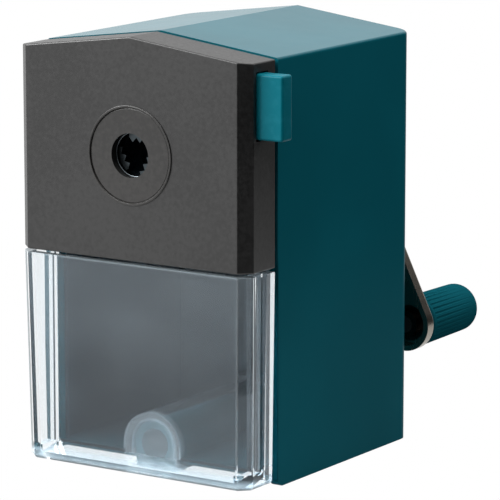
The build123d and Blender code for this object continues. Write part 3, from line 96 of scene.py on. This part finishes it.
# %% Socket arithmetic
class Wire:
    def __init__(self, tree, socket):
        self.tree, self.socket = tree, socket

    def node(self, kind, out=0, settings=None, **inputs):
        made = self.tree.nodes.new(kind)
        for key, value in (settings or {}).items():
            setattr(made, key, value)
        for key, value in inputs.items():
            numbered = key[0] == "n" and key[1:].isdigit()
            target = made.inputs[int(key[1:]) if numbered else key.replace("_", " ")]
            if isinstance(value, Wire):
                self.tree.links.new(value.socket, target)
            else:
                target.default_value = value
        return Wire(self.tree, made.outputs[out])

    def also(self, out):
        return Wire(self.tree, self.socket.node.outputs[out])

    def axes(self):
        x = self.node("ShaderNodeSeparateXYZ", "X", None, Vector=self)
        return x, x.also("Y"), x.also("Z")

    def math(self, operation, *terms):
        numbered = {f"n{i}": term for i, term in enumerate(terms)}
        return self.node("ShaderNodeMath", 0, {"operation": operation}, **numbered)

    def __add__(self, other): return self.math("ADD", self, other)
    def __radd__(self, other): return self.math("ADD", other, self)
    def __sub__(self, other): return self.math("SUBTRACT", self, other)
    def __rsub__(self, other): return self.math("SUBTRACT", other, self)
    def __mul__(self, other): return self.math("MULTIPLY", self, other)
    def __rmul__(self, other): return self.math("MULTIPLY", other, self)

    def smooth(self, low, high):
        return self.node("ShaderNodeMapRange", 0, {"interpolation_type": "SMOOTHSTEP"},
                         Value=self, From_Min=low, From_Max=high, To_Min=0.0, To_Max=1.0)

    def blend(self, first, second):
        return self.node("ShaderNodeMix", 2, {"data_type": "RGBA"}, n0=self, n6=first, n7=second)


print("socket arithmetic ready")

# %% [markdown]
# ## Starting a finish
# Every finish is a Principled shader that reads Object coordinates. All pieces sit at the origin, so one
# pattern keeps the same scale in metres on each of them: a scale of 1000 has waves of about a millimetre.
# Much on this object is round about a line that runs from front to back, such as the pencil hole, so one
# helper gives the distance from such a line.


# %% A finish and its coordinates
def finish(name, colour, roughness, metallic=0.0, **fixed):
    made = bpy.data.materials.new(name)
    made.use_nodes = True
    tree = made.node_tree
    shader = tree.nodes["Principled BSDF"]
    shader.inputs["Base Color"].default_value = (*colour, 1.0)
    shader.inputs["Roughness"].default_value = roughness
    shader.inputs["Metallic"].default_value = metallic
    for key, value in fixed.items():
        shader.inputs[key.replace("_", " ")].default_value = value
    where = tree.nodes.new("ShaderNodeTexCoord")
    return made, Wire(tree, where.outputs["Object"]), shader


def feed(shader, name, wire):
    wire.tree.links.new(wire.socket, shader.inputs[name])


def shade(colour, factor):
    return (*(c * factor for c in colour), 1.0)


def grain(where, scale, detail=3.0, stretch=(1.0, 1.0, 1.0)):
    turned = where.node("ShaderNodeMapping", 0, None, Vector=where, Scale=stretch)
    return where.node("ShaderNodeTexNoise", 0, None, Vector=turned, Scale=scale, Detail=detail)


def bump(where, height, strength, distance, **under):
    return where.node("ShaderNodeBump", 0, None, Height=height, Strength=strength, Distance=distance, **under)


def from_line(where, line_x, line_z):
    x, _, z = where.axes()
    return where.math("SQRT", (x - line_x) * (x - line_x) + (z - line_z) * (z - line_z))


print("finish helpers ready")

# %% [markdown]
# ## Moulded plastic
# The shell, the tab, the knob and the base are smooth mouldings in teal. Real mouldings are never one flat
# colour: the pigment drifts slowly, the gloss changes where the melt met the mould, and the skin has a very
# fine orange-peel wave. Three noises at three scales give those, all weak.

# %% Drift, gloss and peel
DRIFT_SCALE, SMEAR_SCALE, PEEL_SCALE, PEEL_DEPTH = 22.0, 160.0, 900.0, 0.0001
DEEP, LIGHT, GLOSS_LOW, GLOSS_SPAN, COAT_ROUGHNESS = 0.93, 1.08, 0.03, 0.06, 0.16


def moulded(name, colour, roughness, peel, shine):
    made, where, shader = finish(name, colour, roughness,
                                 Specular_IOR_Level=shine, Coat_Roughness=COAT_ROUGHNESS)
    tint = grain(where, DRIFT_SCALE, 2.0).smooth(0.3, 0.7).blend(shade(colour, DEEP), shade(colour, LIGHT))
    feed(shader, "Base Color", tint)
    feed(shader, "Roughness", roughness - GLOSS_LOW + GLOSS_SPAN * grain(where, SMEAR_SCALE, 3.0))
    feed(shader, "Normal", bump(where, grain(where, PEEL_SCALE, 2.0), peel, PEEL_DEPTH))
    return made, where, shader, tint


# Painted shade: the knob and the base are the tab's teal, given darker copies of it for the shade they sit
# in.
teal_knob_painted_shade = moulded("teal_knob_painted_shade", (0.005, 0.088, 0.115), 0.45, 0.05, 0.0)[0]
teal_base_painted_shade = moulded("teal_base_painted_shade", (0.002, 0.050, 0.064), 0.45, 0.08, 0.30)[0]
print("knob and base finishes made")

# %% [markdown]
# ## Shell
# The roof is glossier than the sides, and the front rim beside the drawer lies in shade. A coat that depends
# on the view would change with the camera, so the gloss is laid by place: it fades within half a millimetre
# below the roof's two slopes. The shell's teal is the tab's made darker, as painted shade on the sides. The
# rim's shade is painted too: a darker colour in the first fifth of a millimetre, and only as high as the
# drawer, so that the edge under the roof stays bright.

# %% Shell finish
# Painted shade: the shell's teal is the tab's teal made darker, so that its sides read as in shade.
SHELL_TEAL_PAINTED_SHADE = (0.004, 0.110, 0.145)
SHELL_LOW, SHELL_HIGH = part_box("body_shell")
ROOF_RISE = 0.0044
ROOF_SLOPE = ROOF_RISE / SHELL_HIGH[0]
POLISH, POLISH_NEAR, POLISH_FAR = 0.48, 0.00012, 0.00052
RIM_PAINTED_SHADE, RIM_FADE, RIM_END = 0.42, 0.0002, 0.004
RIM_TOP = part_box("drawer")[1][2]
teal_shell, where, shader, tint = moulded("teal_shell", SHELL_TEAL_PAINTED_SHADE, 0.30, 0.05, 0.008)
aside, inward, up = where.axes()
# Painted shade: the rim is darkened to 0.42 of the teal, up to the drawer's top.
clear = inward.smooth(SHELL_LOW[1] + RIM_FADE, SHELL_LOW[1] + 2 * RIM_FADE)
outside_rim_shade = where.math("MAXIMUM", clear, up.smooth(RIM_TOP, RIM_TOP + RIM_END))
feed(shader, "Base Color", outside_rim_shade.blend(shade(SHELL_TEAL_PAINTED_SHADE, RIM_PAINTED_SHADE), tint))
below_roof = SHELL_HIGH[2] - ROOF_SLOPE * where.math("ABSOLUTE", aside) - up
feed(shader, "Coat Weight", POLISH * (1 - below_roof.smooth(POLISH_NEAR, POLISH_FAR)))
print("shell finish made, roof slope", round(ROOF_SLOPE, 4))

# %% [markdown]
# ## Tab
# Fingers press the tab, so its skin is rubbed paler in small spots. One more noise, cut off so that only its
# peaks count, mixes in the paler colour.

# %% Tab finish
TAB_TEAL = (0.001, 0.150, 0.196)
RUBBED, RUB_SCALE, RUB_LIGHT, RUB_DUST = 0.35, 420.0, 1.3, 0.015
teal_tab, where, shader, tint = moulded("teal_tab", TAB_TEAL, 0.34, 0.04, 0.10)
worn = RUBBED * grain(where, RUB_SCALE, 4.0).smooth(0.45, 0.75)
feed(shader, "Base Color", worn.blend(tint, (*(RUB_LIGHT * c + RUB_DUST for c in TAB_TEAL), 1.0)))
print("tab finish made")

# %% [markdown]
# ## Charcoal plastic
# The front housing has a spark-eroded mould texture: thousands of tiny pits that turn the gloss satin.
# A fine noise drives the bump. The colour is mottled by three noises, from broad patches to the pits, because
# dust and handling settle in all of them. The bezel also has a fine groove inside its bead, which a second
# bump on the distance from the hole draws.

# %% Charcoal finishes
PIT_SCALE, PATCH_SCALE, MOTTLE_SCALE, PIT_DEPTH, GROOVE_DEPTH = 1500.0, 30.0, 850.0, 0.00012, 0.0001
MOTTLE_DARK, MOTTLE_PALE = 0.6, 1.4


def charcoal(name, colour, roughness, pits, shine=0.5, groove=None):
    made, where, shader = finish(name, colour, roughness, Specular_IOR_Level=shine)
    pit = grain(where, PIT_SCALE, 4.0)
    patch = grain(where, PATCH_SCALE, 2.0)
    tone = 0.35 * patch + 0.45 * grain(where, MOTTLE_SCALE, 5.0) + 0.2 * pit
    mottled = tone.smooth(0.4, 0.6).blend(shade(colour, MOTTLE_DARK), shade(colour, MOTTLE_PALE))
    feed(shader, "Base Color", mottled)
    feed(shader, "Roughness", roughness - 0.14 + 0.20 * pit + 0.08 * patch)
    skin = bump(where, pit, pits, PIT_DEPTH)
    if groove is not None:
        radius, centre_z, width = groove
        cut = where.math("ABSOLUTE", from_line(where, 0.0, centre_z) - radius).smooth(0.0, width)
        skin = bump(where, cut, 1.0, GROOVE_DEPTH, Normal=skin)
    feed(shader, "Normal", skin)
    return made


BEZEL_LOW, BEZEL_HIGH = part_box("pencil_bezel")
HOLE_Z = (BEZEL_LOW[2] + BEZEL_HIGH[2]) / 2
GROOVE_INSET, GROOVE_WIDTH = 0.00075, 0.00025
GROOVE_R = (BEZEL_HIGH[0] - BEZEL_LOW[0]) / 2 - GROOVE_INSET
charcoal_front = charcoal("charcoal_front", (0.014, 0.014, 0.014), 0.40, 0.20, 0.68)
charcoal_bezel = charcoal("charcoal_bezel", (0.016, 0.015, 0.014), 0.38, 0.08, 0.68,
                          (GROOVE_R, HOLE_Z, GROOVE_WIDTH))
charcoal_inner = charcoal("charcoal_inner", (0.012, 0.024, 0.034), 0.5, 0.1)
nylon = charcoal("nylon", (0.72, 0.71, 0.67), 0.5, 0.05)
print("charcoal and nylon finishes made")

# %% [markdown]
# ## Clear drawer
# The drawer is polystyrene, clear as glass, and lets the dark bay show through. Transmission bends the
# light at both faces of each wall, which makes the pale rims. Faint flow lines in the bump keep the walls
# from looking like window glass.

# %% Clear walls
FLOW_SCALE, FLOW_DEPTH, HAZE_SCALE = 60.0, 0.0004, 300.0
clear_drawer, where, shader = finish("clear_drawer", (0.96, 0.985, 1.0), 0.03, Transmission_Weight=1.0,
                                     IOR=1.49, Specular_Tint=(0.80, 0.90, 1.0, 1.0))
feed(shader, "Normal", bump(where, grain(where, FLOW_SCALE, 2.0, (1.0, 1.0, 0.25)), 0.02, FLOW_DEPTH))
haze = grain(where, HAZE_SCALE, 2.0)
feed(shader, "Roughness", 0.02 + 0.03 * haze)
print("clear walls made")

# %% [markdown]
# ## Milky places on the drawer
# Clear plastic turns cloudy where it is scuffed or thick: on the underside, on the end wall of the tunnel
# over the clamp's tube, and as a thin haze that grows upwards. The cloudy band along the top lip is a painted
# highlight, for light bent at the top edge. Each is a mask by place, and their sum mixes a dull white into
# the clear shader, which is simpler than a second piece for each.

# %% Milky masks
DRAWER_BOTTOM, DRAWER_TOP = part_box("drawer")[0][2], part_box("drawer")[1][2]
SCUFF_LOW = DRAWER_BOTTOM + 0.0003
SCUFF_HIGH = SCUFF_LOW + 0.0014
LIP_HIGH = DRAWER_TOP - 0.0003
LIP_LOW = LIP_HIGH - 0.0003
CLAMP_Z, ARCH_IN, ARCH_OUT, ARCH_FADE, ARCH_DEPTH = 0.0075, 0.0061, 0.0084, 0.0004, 0.0026
ARCH_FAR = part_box("base_plate")[0][1]
ARCH_NEAR = ARCH_FAR - ARCH_DEPTH
# Painted highlight: the band along the top lip stands in for light bent at the drawer's top edge.
HAZE_MILK, ARCH_MILK, DISC_MILK, LIP_PAINTED_HIGHLIGHT, SCUFF_MILK = 0.012, 0.085, 0.03, 0.13, 0.62
RISE_LOW, RISE_MILK, CLOUD_SCALE = 0.022, 0.02, 45.0
_, inward, up = where.axes()
from_clamp = from_line(where, 0.0, CLAMP_Z)
end_wall = inward.smooth(ARCH_NEAR, ARCH_NEAR + ARCH_FADE) - inward.smooth(ARCH_FAR, ARCH_FAR + ARCH_FADE)
disc = 1 - from_clamp.smooth(ARCH_OUT, ARCH_OUT + ARCH_FADE)
arch = from_clamp.smooth(ARCH_IN, ARCH_IN + ARCH_FADE)
cloud = grain(where, CLOUD_SCALE, 2.0, (0.6, 1.0, 1.0)).smooth(0.3, 0.7)
haze_and_lip_highlight = HAZE_MILK * (0.3 + 1.4 * cloud) + RISE_MILK * up.smooth(RISE_LOW, LIP_LOW)
haze_and_lip_highlight = haze_and_lip_highlight + disc * end_wall * (DISC_MILK + ARCH_MILK * arch) + LIP_PAINTED_HIGHLIGHT * up.smooth(LIP_LOW, LIP_HIGH)
scuffed = SCUFF_MILK * (1 - up.smooth(SCUFF_LOW, SCUFF_HIGH)) * (0.6 + 0.4 * haze)
milk_and_lip_highlight = where.math("MAXIMUM", scuffed, haze_and_lip_highlight)
print("milky masks made")

# %% [markdown]
# ## Light through the drawer
# A shadow ray can't bend, so glass throws a shadow that is far too dark. For those rays alone the walls are
# plainly see-through, with a slight tint, and the bay behind them gets its light.

# %% Drawer surface
tree = clear_drawer.node_tree
frost = where.node("ShaderNodeBsdfDiffuse", 0, None, Color=(0.72, 0.84, 0.91, 1.0))
skin = where.node("ShaderNodeMixShader", 0, None, n0=milk_and_lip_highlight, n1=Wire(tree, shader.outputs[0]), n2=frost)
straight = where.node("ShaderNodeBsdfTransparent", 0, None, Color=(0.82, 0.87, 0.90, 1.0))
shadow_ray = where.node("ShaderNodeLightPath", "Is Shadow Ray")
walls = where.node("ShaderNodeMixShader", 0, None, n0=shadow_ray, n1=skin, n2=straight)
tree.links.new(walls.socket, tree.nodes["Material Output"].inputs["Surface"])
print("clear plastic made")

# %% [markdown]
# ## Metals
# Turned and drawn metal has fine lines along one direction. A noise that is squeezed on one axis gives the
# lines, and they drive the roughness more than the colour, because bare metal shows wear as gloss. The arm of
# the crank is rubbed bright, and painted shade makes it near black round the pin of the knob, so its colour
# also goes by the distance from that pin.

# %% Metal finishes
LINE_SCALE, STAIN_SCALE, LINE_DEPTH, STAIN = 900.0, 70.0, 0.00006, 0.82
# Painted shade: round the knob's pin the arm's colour drops to a tenth, which hides a glint.
BOSS_R, BOSS_FADE, BOSS_PAINTED_SHADE = 0.0045, 0.0006, 0.1
EVEN, ALONG_ARM, ALONG_ROD = (1.0, 1.0, 1.0), (1.0, 0.1, 0.1), (1.0, 0.05, 1.0)


def drawn_metal(name, colour, roughness, stretch, lines=0.08, painted_shade_round=None):
    made, where, shader = finish(name, colour, roughness, 1.0)
    line = grain(where, LINE_SCALE, 3.0, stretch)
    tint = grain(where, STAIN_SCALE, 2.0).smooth(0.3, 0.7).blend(shade(colour, STAIN), (*colour, 1.0))
    if painted_shade_round is not None:
        away = from_line(where, *painted_shade_round)
        tint = away.smooth(BOSS_R, BOSS_R + BOSS_FADE).blend(shade(colour, BOSS_PAINTED_SHADE), tint)
    feed(shader, "Base Color", tint)
    feed(shader, "Roughness", roughness - 0.06 + 0.12 * line)
    feed(shader, "Normal", bump(where, line, lines, LINE_DEPTH))
    return made


PIN_LOW, PIN_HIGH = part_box("knob_pin")
PIN_LINE = ((PIN_LOW[0] + PIN_HIGH[0]) / 2, (PIN_LOW[2] + PIN_HIGH[2]) / 2)
arm_plate = drawn_metal("arm_plate", (0.30, 0.275, 0.235), 0.26, ALONG_ARM, 0.03, PIN_LINE)
zinc_screw = drawn_metal("zinc_screw", (0.62, 0.61, 0.58), 0.32, EVEN)
ground_rod = drawn_metal("ground_rod", (0.66, 0.66, 0.66), 0.2, ALONG_ROD)
spring_wire = drawn_metal("spring_wire", (0.50, 0.50, 0.51), 0.28, EVEN)
cutter_steel = drawn_metal("cutter_steel", (0.40, 0.40, 0.42), 0.3, (1.0, 0.1, 1.0))
black_jaw = drawn_metal("black_jaw", (0.075, 0.09, 0.098), 0.34, (1.0, 0.3, 1.0))
dull_lip = drawn_metal("dull_lip", (0.20, 0.23, 0.25), 0.36, EVEN)
black_pin = drawn_metal("black_pin", (0.05, 0.05, 0.05), 0.5, EVEN)
bronze_bush = drawn_metal("bronze_bush", (0.46, 0.32, 0.17), 0.45, EVEN)
cast_grey = drawn_metal("cast_grey", (0.36, 0.36, 0.37), 0.5, EVEN, 0.2)
print("metal finishes made")

# %% [markdown]
# ## Dressing the pieces
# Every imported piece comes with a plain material. One table says which finish each takes, with pieces of one
# finish side by side, and the count that it prints should be the number of nodes.

# %% Dress the CAD nodes
dress = {
    "body_shell": teal_shell, "chuck_button": teal_tab, "crank_knob": teal_knob_painted_shade, "base_plate": teal_base_painted_shade,
    "front_housing": charcoal_front, "pencil_bezel": charcoal_bezel, "drawer": clear_drawer,
    "chuck_plate": charcoal_inner, "frame_front": charcoal_inner, "frame_rear": charcoal_inner,
    "bay_shelf": charcoal_inner, "bay_cheek_left": charcoal_inner, "bay_cheek_right": charcoal_inner,
    "frame_screws": zinc_screw, "base_screws": zinc_screw, "ring_screws": zinc_screw,
    "chuck_screws": zinc_screw, "crank_screw": zinc_screw, "jaw_pins": zinc_screw, "rod_clips": zinc_screw,
    "guide_rods": ground_rod, "cutter_axle": ground_rod, "knob_pin": black_pin,
    "feed_spring_left": spring_wire, "feed_spring_right": spring_wire, "button_spring": spring_wire,
    "rear_bush": bronze_bush, "guide_bushes": nylon, "ring_gear": nylon, "cam_ring": nylon,
    "cutter_carrier": cast_grey, "helical_cutter": cutter_steel, "cutter_pinion": cutter_steel,
    "jaw_1": black_jaw, "jaw_2": black_jaw, "jaw_3": black_jaw, "crank_arm": arm_plate,
}
for name, made in dress.items():
    nodes[name].data.materials.clear()
    nodes[name].data.materials.append(made)
print("dressed", len(dress), "nodes")

# %% [markdown]
# ## From a spun wire to a piece
# The pieces that follow are wires: a small circle that is spun round an axis. A spin leaves double vertices
# where its steps meet, open ends, and faces that may point inwards. One helper mends all three in that order,
# and another makes the object, which stays at the origin with its place in its mesh.


# %% Closing a wire and making its object
def close_up(bm, wire):
    bmesh.ops.remove_doubles(bm, verts=bm.verts[:], dist=wire / 50)
    bmesh.ops.holes_fill(bm, edges=[e for e in bm.edges if e.is_boundary], sides=0)
    bmesh.ops.recalc_face_normals(bm, faces=bm.faces[:])
    for face in bm.faces:
        face.smooth = True


def to_object(bm, name, made):
    mesh = bpy.data.meshes.new(name)
    bm.to_mesh(mesh)
    bm.free()
    mesh.materials.append(made)
    piece = bpy.data.objects.new(name, mesh)
    scene.collection.objects.link(piece)
    return piece


print("wire helpers ready")

# %% [markdown]
# ## Lip of the pencil hole
# Deep in the hole, the edge of the guide ring catches the light as a thin line. It is a rolled edge, thinner
# than a paper clip. A small circle spun once round the axis of the hole is a clean ring with few faces.

# %% Hole lip
LIP_WIRE, HOLE_R, LIP_SIDES, LIP_STEPS = 0.00016, 0.0055, 8, 64
hole_axis = Vector((0.0, BEZEL_HIGH[1] - LIP_WIRE, HOLE_Z))
bm = bmesh.new()
bmesh.ops.create_circle(bm, segments=LIP_SIDES, radius=LIP_WIRE,
                        matrix=Matrix.Translation(hole_axis + Vector((HOLE_R, 0.0, 0.0))))
bmesh.ops.spin(bm, geom=bm.edges[:], cent=hole_axis, axis=(0.0, 1.0, 0.0), angle=2 * math.pi, steps=LIP_STEPS,
               use_merge=True, use_normal_flip=False, use_duplicate=False)
close_up(bm, LIP_WIRE)
hole_lip = to_object(bm, "hole_lip", dull_lip)
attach(hole_lip, "front")
print("hole lip has", len(hole_lip.data.polygons), "faces")

# %% [markdown]
# ## Wire springs
# Two springs draw the front in and a small one pushes the tab out. Each is a round wire on a helix, with
# the last turn at both ends laid close, as a spring is wound so that it stands flat. Spinning a ring of the
# wire's own thickness round the spring's axis, with a small step along it each time, is the whole job.

# %% Winding a spring
WIRE_SIDES, TURN_STEPS, CLOSE_WIRES = 10, 20, 2.1
UP = Vector((0.0, 0.0, 1.0))


def wind(name, node, along, wire, turns, ride_on):
    low, high = (Vector(c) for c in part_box(node))
    axis = Vector([1.0 if i == along else 0.0 for i in range(3)])
    foot = (low + high) / 2
    foot[along] = low[along]
    length = high[along] - low[along]
    coil_r = (high[2] - low[2]) / 2 - wire
    bm = bmesh.new()
    turn_to_wire = Matrix((UP, axis, -axis.cross(UP))).transposed().to_4x4()
    start = Matrix.Translation(foot + UP * coil_r + axis * wire)
    ring = bmesh.ops.create_circle(bm, segments=WIRE_SIDES, radius=wire, matrix=start @ turn_to_wire)
    edges = list({e for v in ring["verts"] for e in v.link_edges})
    close = CLOSE_WIRES * wire
    plan = [(1, close), (turns, (length - 2 * wire - 2 * close) / turns), (1, close)]
    for count, pitch in plan:
        made = bmesh.ops.spin(bm, geom=edges, cent=foot, axis=axis, dvec=axis * pitch / TURN_STEPS,
                              angle=2 * math.pi * count, steps=TURN_STEPS * count,
                              use_merge=False, use_normal_flip=False, use_duplicate=False)
        edges = [g for g in made["geom_last"] if isinstance(g, bmesh.types.BMEdge)]
    close_up(bm, wire)
    spring = to_object(bm, name, spring_wire)
    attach(spring, ride_on)
    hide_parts(node)
    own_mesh(spring)
    print(name, "has", turns + 2, "turns over", round(length * 1000, 1), "mm")


# %% [markdown]
# ## The three springs
# The two feed springs lie on the guide rods in the body, and the tab's spring lies across the front. Each
# stands for the imported spring of its name, whose box gives its size.

# %% Springs
FEED_WIRE, FEED_TURNS, FRONT_TRAVEL = 0.00045, 12, 0.028
TAB_WIRE, TAB_TURNS, TAB_TRAVEL = 0.0003, 6, 0.004
wind("feed_coil_left", "feed_spring_left", 1, FEED_WIRE, FEED_TURNS, "body")
wind("feed_coil_right", "feed_spring_right", 1, FEED_WIRE, FEED_TURNS, "body")
wind("button_coil", "button_spring", 0, TAB_WIRE, TAB_TURNS, "front")

# %% [markdown]
# ## Floor
# The sharpener stands on a white page without a shadow. The floor is still there for the light: it is a grey
# disc for the rays that light the object, and plain white for those that the camera, a reflection or the
# clear plastic sees.

# %% Floor
FLOOR_R, FLOOR_SIDES, FLOOR_MIDDLE = 0.19, 96, (0.02, 0.07, 0.0)
pale, where, shader = finish("pale_floor", (0.22, 0.22, 0.22), 0.9, Specular_IOR_Level=0.1)
tree = pale.node_tree
camera_ray = where.node("ShaderNodeLightPath", "Is Camera Ray")
seen = where.math("MAXIMUM", camera_ray, camera_ray.also("Is Glossy Ray"))
seen = where.math("MAXIMUM", seen, camera_ray.also("Is Transmission Ray"))
white = where.node("ShaderNodeEmission", 0, None, Color=(1.0, 1.0, 1.0, 1.0), Strength=1.0)
sheet = where.node("ShaderNodeMixShader", 0, None, n0=seen, n1=Wire(tree, shader.outputs[0]), n2=white)
tree.links.new(sheet.socket, tree.nodes["Material Output"].inputs["Surface"])
bm = bmesh.new()
bmesh.ops.create_circle(bm, cap_ends=True, segments=FLOOR_SIDES, radius=FLOOR_R,
                        matrix=Matrix.Translation(FLOOR_MIDDLE))
floor = to_object(bm, "floor", pale)
print("floor laid")

# %% [markdown]
# ## Surround
# The camera and the clear plastic see plain white all round. The light itself comes from a white wall at the
# left that leans over the top, while the right stays dark: that keeps the teal side deep in colour and still
# lays a pale sheen on the roof. A lit room would be slower and harder to steer than this one formula.

# %% World
WALL_LEAN, WALL_FROM, WALL_TO, DARK, WALL_LIGHT = 0.6, -0.1, 0.3, 0.03, 0.95
world = bpy.data.worlds.new("studio")
scene.world = world
world.use_nodes = True
tree = world.node_tree
sky = tree.nodes["Background"]
facing = Wire(tree, tree.nodes.new("ShaderNodeTexCoord").outputs["Generated"])
camera_ray = facing.node("ShaderNodeLightPath", "Is Camera Ray")
aside, _, up = facing.axes()
wall = 1 - (aside - WALL_LEAN * up).smooth(WALL_FROM, WALL_TO)
plain = facing.math("MAXIMUM", camera_ray, camera_ray.also("Is Transmission Ray"))
plain = facing.math("MAXIMUM", plain, wall * camera_ray.also("Is Glossy Ray"))
strength = plain + (1 - plain) * (DARK + WALL_LIGHT * wall)
tree.links.new(strength.socket, sky.inputs["Strength"])
sky.inputs["Color"].default_value = (1.0, 1.0, 1.0, 1.0)
scene.view_settings.view_transform = "Standard"
print("surround set")

# %% [markdown]
# ## Lamps
# Three soft boxes add shape: a strong one at the left for the charcoal front, one above for the roof, and a
# weak one at the right, so that the teal side is not black. All point at the middle of the object.

# %% Lamps
LAMP_AIM = Vector((0.0, 0.0, 0.05))


def softbox(name, place, size, power):
    lamp = bpy.data.objects.new(name, bpy.data.lights.new(name, "AREA"))
    lamp.data.shape, lamp.data.size, lamp.data.energy = "SQUARE", size, power
    lamp.location = place
    lamp.rotation_euler = (LAMP_AIM - Vector(place)).to_track_quat("-Z", "Y").to_euler()
    scene.collection.objects.link(lamp)
    print(name, "gives", power, "W")


softbox("key_left", (-0.85, -0.75, 0.75), 0.6, 17.0)
softbox("top", (0.0, 0.05, 1.05), 0.5, 4.6)
softbox("fill_right", (0.9, 0.35, 0.6), 0.6, 2.5)
